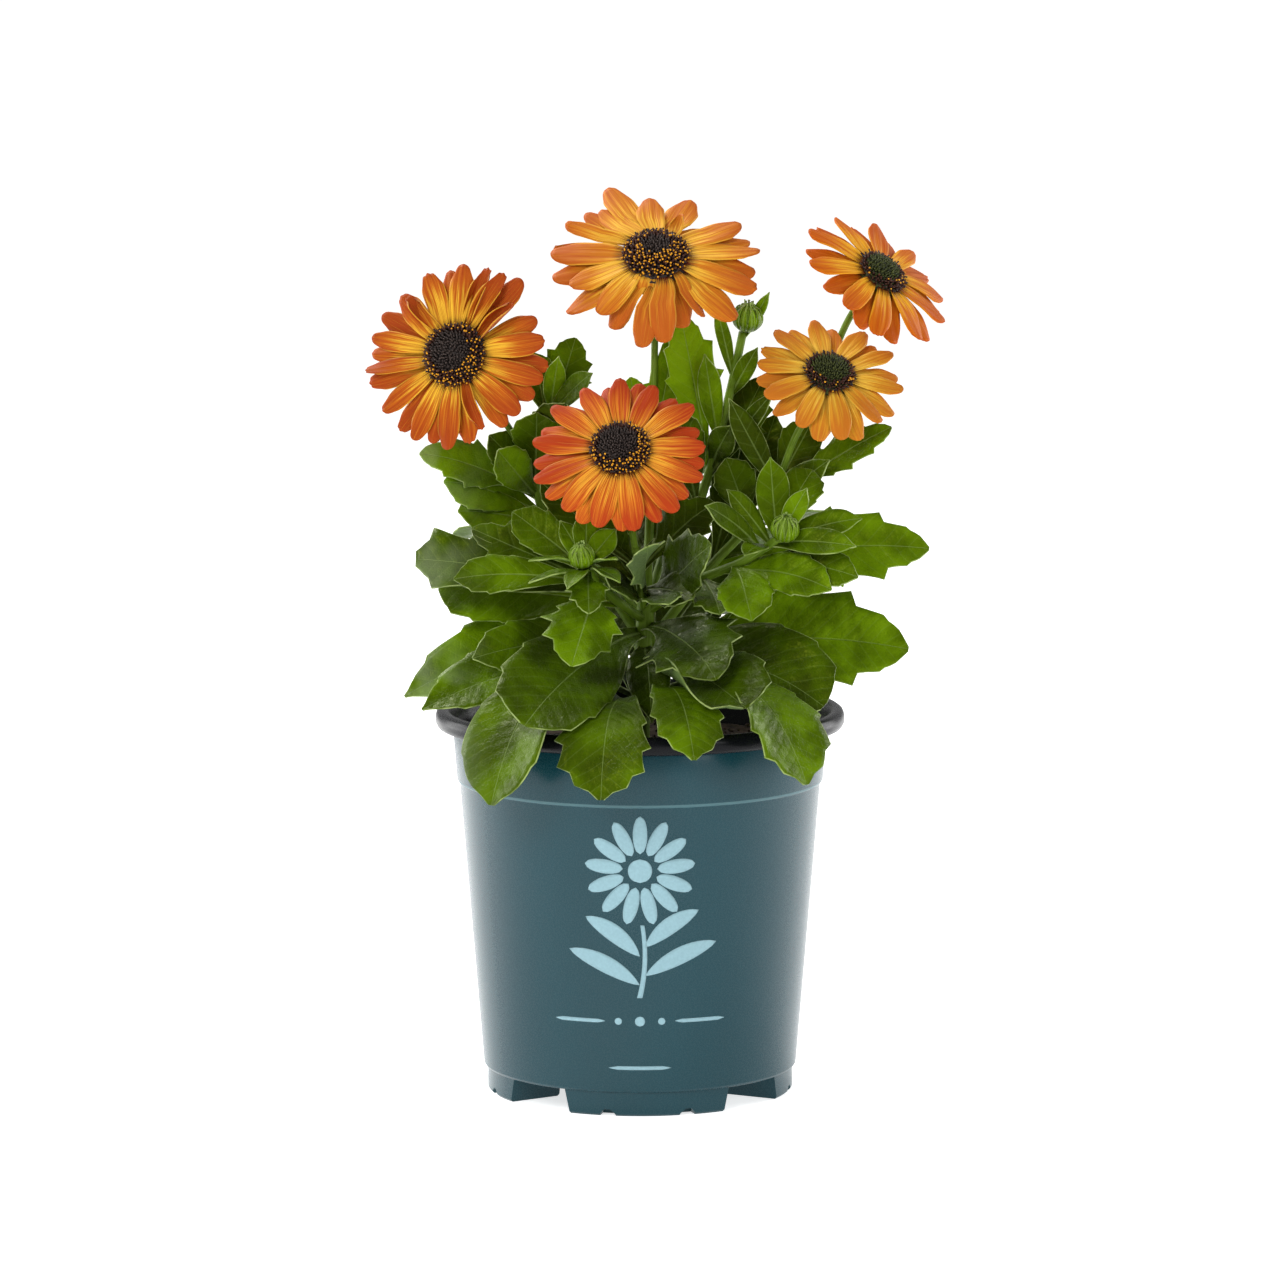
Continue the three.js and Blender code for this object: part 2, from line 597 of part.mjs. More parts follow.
function potSolid() {
  const outside = [
    [0, FOOT_HEIGHT],
    [65.4, FOOT_HEIGHT],
    [76, 131.4],
    [77, 132.4],
    [78.8, 153.6],
    [84.6, 154.6],
    [RIM_RADIUS, 159.4],
    [84.2, POT_HEIGHT],
    [80, 161.4],
    [76.4, 152],
    [66 - WALL, FOOT_HEIGHT + WALL],
    [0, FOOT_HEIGHT + WALL],
  ];
  let pot = solid(turned(outside, 32));
  const holes = [];
  for (let i = 0; i < FOOT_COUNT; i++) {
    const middle = -90 + FOOT_TURN + (360 / FOOT_COUNT) * i;
    const outer = 64.4;
    pot = pot.add(solid(slice(outer - FOOT_DEPTH, outer, 0, FOOT_HEIGHT + 0.6, middle, FOOT_ARC)));
    const drain = turned([[0, 0], [4.5, 0], [4.5, 20], [0, 20]], 10);
    drain.translate(52, 0, 0).rotateZ(rad(middle + 180 / FOOT_COUNT));
    holes.push(solid(drain));
    for (const offset of [-15, 15]) {
      const notch = new THREE.Shape();
      notch.moveTo(-3.4, -1).lineTo(3.4, -1).lineTo(0.6, 2.8).lineTo(-0.6, 2.8);
      notch.closePath();
      const g = new THREE.ExtrudeGeometry(notch, { depth: 5, bevelEnabled: false });
      g.rotateX(Math.PI / 2).rotateZ(Math.PI / 2).translate(outer - 3, 0, 0).rotateZ(rad(middle + offset));
      holes.push(solid(g));
    }
  }
  return pot.subtract(joined(holes));
}

function soilSolid() {
  const floor = FOOT_HEIGHT + WALL + GAP;
  const lumps = (r, a) => 1.3 * Math.sin(3 * a + r / 9) * Math.cos(r / 7) - 2 * (r / 75) ** 4;
  const side = [[0, floor], [66 - WALL - GAP, floor], [75.7 - GAP, SOIL_TOP - 2]];
  const top = [[56, SOIL_TOP], [30, SOIL_TOP], [0, SOIL_TOP]];
  const g = turned([...side, ...top], 32);
  const p = g.getAttribute("position");
  for (let i = 0; i < p.count; i++) {
    const r = Math.hypot(p.getX(i), p.getY(i));
    if (p.getZ(i) > SOIL_TOP - 3 && r > 1 && r < 72) {
      p.setZ(i, p.getZ(i) + lumps(r, Math.atan2(p.getY(i), p.getX(i))));
    }
  }
  const [x, y] = SHOOTS[0].stem[0];
  const bore = STEM_RADIUS + GAP;
  const hole = turned([[0, 0], [bore, 0], [bore, 60], [0, 60]], 12, [x, y, 118 - GAP]);
  return solid(g).subtract(solid(hole));
}

// ---- The scene graph ---------------------------------------------------------------------------

const paint = (color, roughness) => new THREE.MeshStandardMaterial({ color, roughness, metalness: 0 });
const PAINT = {
  pot: paint(0x2f5560, 0.42),
  soil: paint(0x2b2018, 0.95),
  leaf: paint(0x3f6b16, 0.5),
  ray: paint(0xd96a1c, 0.55),
  disc: paint(0x1f1613, 0.8),
};

function mesh(name, shape, material) {
  const m = new THREE.Mesh(geometryOf(shape), material);
  m.name = name;
  return m;
}

const plant = new THREE.Group();
plant.add(mesh("pot", potSolid(), PAINT.pot));
plant.add(mesh("potting_mix", soilSolid(), PAINT.soil));

// Every side shoot starts inside the main stem and is cut back to stand just clear of it.
const [trunk, ...sideShoots] = SHOOTS;
const seat = solid(tube(trunk.stem, STEM_RADIUS + GAP, 8));
plant.add(mesh(trunk.name, shootSolid(trunk), PAINT.leaf));
for (const shoot of sideShoots) {
  plant.add(mesh(shoot.name, shootSolid(shoot).subtract(seat), PAINT.leaf));
}
BLOOMS.forEach((bloom, i) => {
  plant.add(mesh(bloom.name + "_petals", solid(corolla(bloom, 11 + i)), PAINT.ray));
  plant.add(mesh(bloom.name + "_disc", solid(discOf(bloom)), PAINT.disc));
});

plant.position.copy(POT_AXIS);
const root = new THREE.Group();
root.add(plant);
export default root;
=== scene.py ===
"""A potted osteospermum in bloom: leafy shoots, buds, five open heads, and its nursery pot."""

import math

import bmesh
import bpy
from mathutils import Matrix, Quaternion, Vector, noise


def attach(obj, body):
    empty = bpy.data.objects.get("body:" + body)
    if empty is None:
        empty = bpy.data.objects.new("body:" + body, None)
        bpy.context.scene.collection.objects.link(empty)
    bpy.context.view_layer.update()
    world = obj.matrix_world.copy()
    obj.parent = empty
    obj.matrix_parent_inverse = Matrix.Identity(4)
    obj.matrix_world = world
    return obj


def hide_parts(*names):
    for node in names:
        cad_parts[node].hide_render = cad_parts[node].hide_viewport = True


bl_info = {
    "name": "Potted Osteospermum",
    "version": (1, 0, 0),
    "blender": (4, 5, 0),
    "location": "View3D > Sidebar > Osteospermum",
    "description": "Dresses a potted osteospermum with leaves, petals, florets and a moulded pot",
    "category": "Add Mesh",
}

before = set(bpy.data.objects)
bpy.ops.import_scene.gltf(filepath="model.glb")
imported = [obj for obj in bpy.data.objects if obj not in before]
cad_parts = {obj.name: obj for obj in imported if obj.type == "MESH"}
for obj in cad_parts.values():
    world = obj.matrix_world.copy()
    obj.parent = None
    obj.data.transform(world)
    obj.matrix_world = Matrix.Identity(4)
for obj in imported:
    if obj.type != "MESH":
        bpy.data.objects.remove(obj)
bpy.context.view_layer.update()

MM = 0.001
UP = Vector((0, 0, 1))
POT_AXIS = Vector((-6.8, 2.3, 0))  # from the middle of the plant's box, in millimetres

# ---- The plant's own measures, in millimetres ----

STEM_RADIUS = 4.2
SHOOT_RADIUS = 2.1
STALK_RADIUS = 1.5
TAPER = 0.86  # a stem's radius at its tip, as a share of that at its foot
COLLAR = 2.2  # how thick a head's base is, through its petals' roots
GAP = 0.3  # between pieces that would otherwise touch
DISC_HEIGHT = 0.42  # of the disc's radius
FOLD = 0.16  # how far a large leaf's sides rise, as a share of its half width
CUP_DEPTH = 8  # from a head's middle to the bottom of the cup behind it
VEIN_SPACING = 6.5  # between a leaf's side veins, along its midrib

# Leaf outlines: half widths along the leaf as shares of the widest, and the teeth that stand
# out from them: where they point, and how far, as a share of the widest half width.
TOOTHED = dict(
    form=((0, 0.13), (0.14, 0.15), (0.28, 0.28), (0.4, 0.6), (0.5, 0.74), (0.6, 0.76), (0.7, 0.69),
          (0.8, 0.58), (0.9, 0.43), (0.96, 0.27), (1, 0.04)),
    teeth=((0.42, 0.12), (0.56, 0.25), (0.77, 0.22), (0.89, 0.05)),
)
ROUNDED = dict(
    form=((0, 0.13), (0.1, 0.16), (0.22, 0.32), (0.44, 0.78), (0.64, 0.95),
          (0.8, 0.86), (0.92, 0.52), (1, 0.04)),
    teeth=((0.55, 0.06), (0.72, 0.1), (0.87, 0.1)),
)
POINTED = dict(
    form=((0, 0.13), (0.1, 0.18), (0.22, 0.36), (0.42, 0.84), (0.6, 0.96),
          (0.8, 0.7), (0.92, 0.36), (1, 0.03)),
    teeth=((0.5, 0.05), (0.7, 0.08), (0.86, 0.07)),
)
BROAD = dict(
    form=((0, 0.13), (0.1, 0.18), (0.22, 0.34), (0.42, 0.8), (0.62, 0.96), (0.8, 0.93), (0.91, 0.74),
          (0.97, 0.46), (1, 0.1)),
    teeth=((0.6, 0.05), (0.78, 0.08), (0.92, 0.1)),
)
HANGING = dict(
    form=((0, 0.13), (0.3, 0.32), (0.6, 0.74), (0.76, 0.86), (0.86, 0.78), (0.93, 0.56), (1, 0.07)),
    teeth=((0.62, 0.1), (0.76, 0.16), (0.88, 0.18), (0.95, 0.12)),
)
SMOOTH_HANGING = dict(
    form=((0, 0.13), (0.3, 0.34), (0.6, 0.8), (0.76, 0.95), (0.86, 0.86), (0.94, 0.58), (1, 0.07)),
    teeth=((0.64, 0.03), (0.84, 0.05)),
)
BLUNT = dict(
    form=((0, 0.13), (0.1, 0.18), (0.22, 0.34), (0.45, 0.66), (0.68, 0.78),
          (0.84, 0.8), (0.93, 0.66), (1, 0.26)),
    teeth=((0.7, 0.14), (0.91, 0.3)),
)
SLIM = dict(form=((0, 0.2), (0.35, 0.85), (0.6, 1), (0.8, 0.74), (1, 0.02)), teeth=())
NOTCH = 0.02  # length of the step behind a tooth, as a share of the leaf

# Petals out of line, by their place round the head: how far they are turned (degrees), how long
# they are (mm), how much further they bend back (mm), their twist (degrees) and share of width,
# and for rolled ones how far their edges curl up and how red they are.
TOP_ODD = {
    0: (-5, 35.5, 0, 0, 1), 1: (8, 39.5, 0, 0, 1.1), 2: (4, 20, -9, 50, 0.7), 3: (10, 34, 1, 0, 1),
    4: (4.5, 41, 0, 12, 0.95), 5: (3, 41.5, 0, 0, 0.9), 6: (0, 44, 0, 8, 1), 7: (1.5, 42, 0, 0, 1.05),
    8: (0, 45, 2, 0, 1.05), 9: (7, 44.5, 2, 0, 1.1), 10: (7.5, 35, 2, 30, 0.55), 11: (9, 33, 3, 0, 1.1),
    12: (9, 42, 2, 0, 1, 0.15, 0.95), 13: (8, 43.5, 1, -8, 0.95, 0.15, 1.0), 14: (3, 19, -2, 25, 0.9),
    15: (5, 36, 3, 0, 0.9, 0.1, 0.8), 16: (-1.5, 37, 1, 0, 1), 17: (-2, 45, 2, -18, 0.95),
    18: (-2, 39, 0, 0, 1), 19: (-3, 44, 0, 0, 1.1), 20: (-2, 44, 0, 10, 1), 21: (-6, 44, 2, 62, 0.5),
    22: (-7, 43, 0, 35, 0.55), 23: (-5.5, 41, 0, 0, 0.95), 24: (-9, 38, 2, 0, 1),
    25: (-7.5, 48.5, 0, 0, 1.05),
}
LEFT_ODD = {
    0: (1, 38.5, 0, 0, 1), 1: (2, 39, -1, 0, 1, 1.0, 0.85), 2: (1, 39.5, 0, 0, 1, 0.8, 0.7),
    3: (-2, 41.5, 0, -8, 1), 4: (-3, 33, -5, 30, 0.8, 1.3, 1.3), 6: (2, 39, 0, 0, 1),
    7: (6, 40, 0, 0, 1), 12: (2, 34, -1, 0, 0.8, 1.0, 1.4), 19: (8, 40, 0, 0, 0.95),
    20: (2, 40, 0, -35, 0.7), 24: (2, 36, 0, 0, 1), 25: (-4, 33, -4, -30, 0.85, 1.3, 1.3),
    26: (3, 37.5, 0, 0, 1),
}

# One row a head: where its middle is, the way it faces (degrees), its radius, its disc's radius, its
# number of petals, how far they rise, bend back and sag at the bottom, its colours, and how much
# redder the petals at its top are.
BLOOMS = {
    "left": dict(at=(-76, -30, 313.5), turn=-18, lift=15, radius=39.4, disc=12.2, rays=28,
                 cup=1.6, droop=3, sag=0, seed=11, finish="amber", heart="brown", odd=LEFT_ODD),
    "top": dict(at=(6.5, 0, 351.2), turn=0, lift=49, radius=43.5, disc=13, rays=26,
                cup=1, droop=2.5, sag=5, seed=12, finish="gold", heart="pollen", odd=TOP_ODD),
    "far_right": dict(at=(100.5, 6, 343.5), turn=47, lift=45, radius=34.5, disc=9.8, rays=20,
                      cup=0.6, droop=4, sag=2, seed=13, finish="copper", heart="dark"),
    "right": dict(at=(78.5, -18, 304), turn=15, lift=47, radius=31.5, disc=9.6, rays=20,
                  cup=0.8, droop=2.4, sag=4, seed=14, finish="honey", heart="green"),
    "centre": dict(at=(-8, -46, 275.5), turn=-2, lift=38, radius=36.5, disc=11.4, rays=26,
                   cup=0.6, droop=3.4, sag=3, seed=15, finish="flame", heart="brown", blush=0.3),
}

# Leaf rows: outline, height on the stem, tip, width, light_and_tint (painted light: 0 deep green for
# leaves in painted shade to 1 sunlit for leaves with light behind them), arch, face (0 to the sky, 90 to
# the viewer, below 0 to the back), how far along the midrib is highest, and the side (1 or -1) whose edge
# rolls up. Bud rows: middle, radius, turn and lift. Stalk rows: the head, the height on the stem, and the
# points on the way.
SHOOTS = {
    "main_stem": dict(
        radius=STEM_RADIUS,
        stem=((0, -5, 118), (0, -5, 146), (1, -7, 175), (2, -8, 200), (3, -8, 214)),
        leaves=(
            (SMOOTH_HANGING, 166, (-61, -83, 134), 43, 0.3, 61, 0, 0.77),
            (HANGING, 159, (-16, -100, 139), 38, 0.28, 56, 0, 0.8),
            (HANGING, 158, (22, -97, 155), 30, 0.45, 44, 0, 0.75),
            (HANGING, 164, (68, -86, 143), 40, 0.52, 57.5, 0, 0.77),
            (BROAD, 195, (-47, -88, 168), 44, 0.26, 12, 58),
            (BROAD, 186, (43, -86, 175), 40, 0.14, 8, 42, 0.5, 1),
            (TOOTHED, 197, (31, -76, 185), 46, 0.1, 12, 55),
            (BROAD, 183, (76, -44, 169), 42, 0.12, 20, 52),
            (TOOTHED, 180, (113, 4, 186), 49, 0.66, 16, 68),
            (ROUNDED, 176, (82, 10, 203), 28, 0.6, 6, 60),
            (POINTED, 178, (-98, -30, 171), 32.5, 0.62, 28, 60),
            (POINTED, 180, (-90, -52, 169), 32.5, 0.55, 16, 40),
            (SLIM, 190, (5, -50, 163), 18, 0.08, 10, 60),
            (ROUNDED, 192, (-69, -50, 190), 22, 0.35, 6, 65),
            (ROUNDED, 182, (-72, 52, 174), 32, 0.4, 30),
            (HANGING, 163, (-30, 94, 146), 32, 0.5, 62, 0, 0.79),
            (HANGING, 166, (26, 96, 148), 32, 0.6, 60, 0, 0.79),
            (ROUNDED, 184, (72, 60, 170), 32, 0.4, 30),
            (TOOTHED, 186, (-30, 66, 192), 32, 0.3, 14, -30),
            (ROUNDED, 181, (-26, 34, 214), 28, 0.02, 4, 50),
            (ROUNDED, 174, (6, 42, 222), 30, 0.04, 2, 45),
            (ROUNDED, 179, (36, 34, 220), 30, 0.02, 4, 50),
            (TOOTHED, 184, (42, 56, 194), 32, 0.35, 14, -30),
        ),
    ),
    "front_left_shoot": dict(
        stem=((2, -8, 200), (-8, -23, 209), (-17, -36, 219), (-23, -45, 229)),
        buds=(((-24, -47, 232), 4.8, -10, 62),),
        leaves=(
            (TOOTHED, 219, (-28, -72, 190), 34, 0.58, 4, 55),
            (TOOTHED, 226, (-21, -66, 211), 18, 0.45, 3, 45),
            (BROAD, 209, (-84, -20, 216), 30, 0.5, 4, 65),
            (BLUNT, 214, (-93, -32, 229), 26, 0.22, 6, 60),
            (ROUNDED, 219, (-77, -42, 222), 17, 0.4, 6, 60),
            (TOOTHED, 217, (-70, -26, 241), 22, 0.15, 2, 60),
            (ROUNDED, 222, (-53, -26, 248), 18, 0.25, 2, 65),
            (SLIM, 228, (-33, -39, 246), 9, 0.5, 0, 60),
            (SLIM, 228, (-22, -40, 250), 11, 0.45, 0, 75),
            (SLIM, 228, (-10, -45, 243), 11, 0.5, 0, 60),
            (SLIM, 227, (-9, -55, 232), 7, 0.6, 3),
            (SLIM, 226, (-8, -60, 223), 9, 0.5, 4),
            (SLIM, 226, (-30, -64, 221), 8, 0.55, 4),
            (SLIM, 226, (-46, -52, 231), 9, 0.5, 5),
            (SLIM, 225, (-46, -54, 222), 8, 0.55, 4),
        ),
    ),
    "front_right_shoot": dict(
        stem=((2, -8, 203), (20, -15, 216), (43, -24, 227), (58, -33, 238)),
        buds=(((60, -36, 242), 5.2, 10, 62),),
        leaves=(
            (ROUNDED, 226, (90, -44, 223), 17, 0.25, 5, 65),
            (SLIM, 235, (89, -45, 236), 12, 0.4, 3, 60),
            (SLIM, 237, (92, -33, 246), 12, 0.35, 3, 60),
            (SLIM, 234, (43, -50, 233), 9, 0.4, 3, 30),
            (SLIM, 232, (27, -46, 253), 10, 0.4, 4, 60),
            (SLIM, 235, (36, -31, 258), 9, 0.4, 2, 60),
            (SLIM, 237, (54, -27, 271), 14, 0.4, 0, 70),
            (SLIM, 238, (69, -36, 259), 9, 0.65, 0, 70),
            (ROUNDED, 236, (72, -13, 264), 18, 0.35, 4, 60),
            (ROUNDED, 222, (79, -46, 218), 19, 0.6, 8, 60),
            (ROUNDED, 225, (46, -52, 206), 23, 0.6, 8, 50),
            (TOOTHED, 219, (33, -46, 208), 22, 0.15, 4, 55),
        ),
    ),
    "centre_shoot": dict(
        stem=((2, -9, 205), (0, -19, 218), (-2, -25, 233)),
        stalks=(("centre", 232, ((-5, -31, 250),)),),
        leaves=(
            (TOOTHED, 208, (29, -50, 237), 32, 0.1, 2, 62),
            (TOOTHED, 222, (31, -28, 252), 24, 0.05, 4, 60),
            (ROUNDED, 214, (22, -42, 214), 18, 0.1, 4, 60),
            (TOOTHED, 224, (-41, -15, 259), 23, 0.05, 0, 60),
            (ROUNDED, 216, (-20, -22, 244), 20, 0.05, 0, 65),
            (ROUNDED, 210, (-12, -46, 219), 20, 0.1, 3, 60),
            (TOOTHED, 211, (3, -68, 239), 22, 0.12, 2, 62),
            (ROUNDED, 209, (12, -52, 213), 16, 0.3, 4, 40),
        ),
    ),
    "left_shoot": dict(
        stem=((1, -7, 191), (-20, 2, 221), (-42, 6, 248), (-43, 8, 270), (-37, 6, 288)),
        stalks=(("left", 262, ((-58, 0, 285),)),),
        leaves=(
            (TOOTHED, 250, (-92, -6, 270), 23, 0.7, 6, 60),
            (ROUNDED, 242, (-82, -4, 258), 22, 0.7, 6, 60),
            (ROUNDED, 238, (-76, -8, 246), 20.8, 0.6, 4, 60),
            (ROUNDED, 256, (-63, 0, 277), 16, 0.2, 0, 60),
            (TOOTHED, 280, (-27, 9, 317), 23, 0.45, 0, 75),
            (SLIM, 286, (-34, 0, 310), 9, 0.75, 0, 80),
            (SLIM, 284, (-20, -8, 304), 10, 0.6, 3, 60),
            (ROUNDED, 282, (-45, 8, 311), 15, 0.3, 0, 80),
            (ROUNDED, 256, (-43, -5, 287), 20.8, 0.35, 0, 70),
            (TOOTHED, 266, (-16, 6, 285), 18, 0.2, 2, 60),
            (ROUNDED, 260, (-31, -8, 291), 20.8, 0.15, 0, 70),
            (ROUNDED, 250, (-59, -12, 272), 17, 0.6, 0, 70),
        ),
    ),
    "tall_shoot": dict(
        stem=((3, -8, 208), (4, 2, 240), (5, 8, 270)),
        stalks=(("top", 269, ((6, 10, 305),)),),
        leaves=(
            (TOOTHED, 264, (-4, 14, 300), 17, 0.8, 0, 70),
            (ROUNDED, 228, (20, 22, 256), 22, 0.1, 2, 60),
            (ROUNDED, 220, (-8, 32, 252), 24, 0.04, 2, 55),
            (TOOTHED, 262, (15, 12, 319), 18, 0.8, 0, 75),
            (ROUNDED, 250, (-22, 26, 268), 20, 0.3, 6, -30),
            (ROUNDED, 246, (12, 38, 262), 20, 0.4, 6, -30),
        ),
    ),
    "bud_shoot": dict(
        stem=((3, -8, 204), (20, 2, 235), (31, 4, 268), (38, 4, 296), (43, 3, 320)),
        buds=(((45, 2, 326), 5.6, 10, 70),),
        leaves=(
            (TOOTHED, 262, (17, 6, 327), 25, 1.05, 0, 75),
            (TOOTHED, 258, (52, 12, 300), 22, 0.1, 0, 75),
            (SLIM, 300, (32, 0, 331), 6, 0.6, 0, 75),
            (SLIM, 274, (27, 0, 311), 10, 0.7, 0, 75),
            (SLIM, 292, (49, -2, 314), 8, 0.35, 0, 75),
            (SLIM, 264, (38, -10, 282), 12, 0.15, 0, 70),
            (ROUNDED, 246, (16, -5, 288), 18, 0.05, 0, 75),
            (SLIM, 258, (56, -12, 297), 8, 0.1, 2, 70),
            (SLIM, 316, (54, 0, 337), 5, 0.55, 0, 75),
        ),
    ),
    "right_shoot": dict(
        stem=((2, -8, 188), (30, 0, 222), (50, -3, 244), (58, -6, 258)),
        stalks=(("right", 257, ((66, -11, 280),)), ("far_right", 250, ((72, 8, 286), (86, 10, 322)))),
        leaves=(
            (TOOTHED, 220, (121, -6, 230), 34, 0.62, 8, 65),
            (TOOTHED, 250, (105, -5, 281), 17, 0.5, 4, 60),
            (SLIM, 246, (79, -12, 268), 12, 0.15, 2, 60),
            (SLIM, 256, (37, -14, 294), 11, 0.05, 0, 70),
            (ROUNDED, 240, (36, -6, 268), 18, 0.1, 0, 70),
            (ROUNDED, 212, (45, 13, 239), 18, 0.05, 0, 60),
            (ROUNDED, 232, (57, 15, 284), 18.5, 0.02, 0, 60),
            (ROUNDED, 222, (43, 17, 272), 18.5, 0.02, 0, 60),
            (ROUNDED, 254, (72, 6, 282), 18, 0.15, 0, 70),
            (ROUNDED, 234, (84, 42, 236), 24, 0.4, 10, -20),
        ),
    ),
    "back_shoot": dict(
        stem=((2, -8, 196), (9, 14, 222), (20, 34, 244), (22, 40, 256)),
        buds=(((23, 43, 260), 5, 160, 60),),
        leaves=(
            (TOOTHED, 222, (68, 52, 222), 28, 0.5, 10, -30),
            (TOOTHED, 228, (18, 84, 222), 30, 0.5, 10, -40),
            (ROUNDED, 238, (60, 44, 256), 22, 0.4, 6, -30),
            (ROUNDED, 244, (32, 76, 248), 20, 0.5, 6, -40),
            (ROUNDED, 246, (-4, 66, 262), 20, 0.35, 6, -40),
            (SLIM, 252, (12, 46, 278), 12, 0.4, 2, -60),
        ),
    ),
    "back_left_shoot": dict(
        stem=((2, -8, 201), (-16, 12, 220), (-30, 32, 238), (-36, 38, 250)),
        leaves=(
            (ROUNDED, 214, (-84, 30, 214), 30, 0.5, 12, -20),
            (TOOTHED, 218, (-44, 82, 216), 30, 0.55, 12, -30),
            (TOOTHED, 230, (-80, 48, 228), 26, 0.35, 8, -30),
            (ROUNDED, 236, (-20, 74, 244), 24, 0.45, 8, -40),
        ),
    ),
}


# ---- Settings a user may change ----

def colour(name, description, default):
    return bpy.props.FloatVectorProperty(
        name=name, description=description, default=default, subtype="COLOR", size=3, min=0, max=1
    )


def length(name, description, default, top):
    return bpy.props.FloatProperty(
        name=name, description=description, default=default,
        min=0.0001, max=top, unit="LENGTH", precision=4,
    )


class PotSettings(bpy.types.PropertyGroup):
    body_colour: colour("Body", "Colour of the moulded pot", (0.0035, 0.037, 0.049))
    # The ridge colour is a painted highlight along the moulding line round the pot.
    ridge_highlight_colour: colour("Ridge", "Colour of the moulding line round the pot", (0.05, 0.115, 0.13))
    rim_colour: colour("Rim", "Colour of the rolled rim and the inside", (0.0028, 0.0032, 0.0045))
    motif_colour: colour("Motif", "Colour of the printed sprig", (0.24, 0.395, 0.445))
    mix_colour: colour("Potting mix", "Colour of the damp potting mix", (0.018, 0.011, 0.007))


class FoliageSettings(bpy.types.PropertyGroup):
    # The deep and sunlit greens are painted light and shade: deep green paints the shade inside the
    # plant, sunlit green paints the light behind the outer leaves.
    painted_shade_green: colour("Deep green", "Leaves inside the plant", (0.020, 0.036, 0.001))
    mid_green: colour("Mid green", "Most leaves", (0.050, 0.094, 0.0005))
    sunlit_green: colour("Sunlit green", "Leaves with light behind them", (0.135, 0.245, 0.002))
    vein_green: colour("Veins", "Midribs and side veins", (0.26, 0.36, 0.10))
    # The edge colour is partly the leaves' pale margin, partly a painted highlight along their edges.
    edge_and_highlight_green: colour("Edges", "Fine pale edges of the leaves", (0.40, 0.50, 0.18))
    under_green: colour("Undersides", "Undersides of the leaves", (0.16, 0.23, 0.10))
    stem_green: colour("Stems", "Stems, stalks and buds", (0.11, 0.185, 0.012))
    blade: length("Blade", "Thickness of a leaf", 0.0006, 0.002)


class FlowerSettings(bpy.types.PropertyGroup):
    petal: length("Petal", "Thickness of a ray petal", 0.0004, 0.002)
    pollen_colour: colour("Pollen", "Colour of the pollen on the outer florets", (0.75, 0.33, 0.01))
    florets: bpy.props.IntProperty(
        name="Florets", description="Florets on each disc", default=340, min=60, max=600
    )


class StageSettings(bpy.types.PropertyGroup):
    floor_colour: colour("Floor", "Colour of the floor", (0.86, 0.86, 0.86))
    distance: length("Camera distance", "From the pot's axis to the camera", 2.888, 10.0)
    elevation: bpy.props.FloatProperty(
        name="Camera elevation", description="How far the camera looks down",
        default=math.radians(8.08), min=0, max=1.5, subtype="ANGLE",
    )
    lens: bpy.props.FloatProperty(
        name="Lens", description="Focal length on a 36 mm sensor, in millimetres",
        default=193.4, min=20, max=400,
    )


# ---- Small helpers ----

def draws(seed):
    """A small repeatable generator of numbers from 0 to 1."""
    state = seed & 0xFFFFFFFF
    while True:
        state = (state + 0x6D2B79F5) & 0xFFFFFFFF
        t = ((state ^ (state >> 15)) * (state | 1)) & 0xFFFFFFFF
        t ^= (t + (((t ^ (t >> 7)) * (t | 61)) & 0xFFFFFFFF)) & 0xFFFFFFFF
        yield ((t ^ (t >> 14)) & 0xFFFFFFFF) / 4294967296


def place(point):
    """A point in millimetres from the foot of the pot's axis, as a place in the scene."""
    return (Vector(point) + POT_AXIS) * MM


def facing(turn, lift):
    a, e = math.radians(turn), math.radians(lift)
    return Vector((math.sin(a) * math.cos(e), -math.cos(a) * math.cos(e), math.sin(e)))


def axes_of(bloom):
    """A head's own axes: right across its face, up it, and out of it."""
    out = facing(bloom["turn"], bloom["lift"])
    right = UP.cross(out).normalized()
    return right, out.cross(right), out


def catmull(points, t):
    """The smooth curve that stems follow through their points, at t from 0 to 1."""
    points = [Vector(p) for p in points]
    span = (len(points) - 1) * t
    i = min(int(span), len(points) - 2)
    w = span - i
    p1, p2 = points[i], points[i + 1]
    p0 = points[i - 1] if i else p1 * 2 - p2
    p3 = points[i + 2] if i + 2 < len(points) else p2 * 2 - p1
    d0, d1, d2 = ((b - a).length_squared ** 0.25 for a, b in ((p0, p1), (p1, p2), (p2, p3)))
    m1 = ((p1 - p0) / d0 - (p2 - p0) / (d0 + d1) + (p2 - p1) / d1) * d1
    m2 = ((p2 - p1) / d1 - (p3 - p1) / (d1 + d2) + (p3 - p2) / d2) * d1
    return p1 + m1 * w + (3 * (p2 - p1) - 2 * m1 - m2) * w**2 + (2 * (p1 - p2) + m1 + m2) * w**3


def point_at(points, height):
    """The point of a stem at a height. Stems climb all the way."""
    low, high = 0.0, 1.0
    for _ in range(24):
        middle = (low + high) / 2
        low, high = (middle, high) if catmull(points, middle).z < height else (low, middle)
    return catmull(points, low)


def bent(foot, knee, tip, s):
    """The plain curve from foot to tip that leans towards the knee."""
    return foot * (1 - s) ** 2 + knee * 2 * s * (1 - s) + tip * s * s


def away_at(angle):
    """The direction at an angle round a disc, from its top."""
    return Vector((math.sin(angle), math.cos(angle), 0))


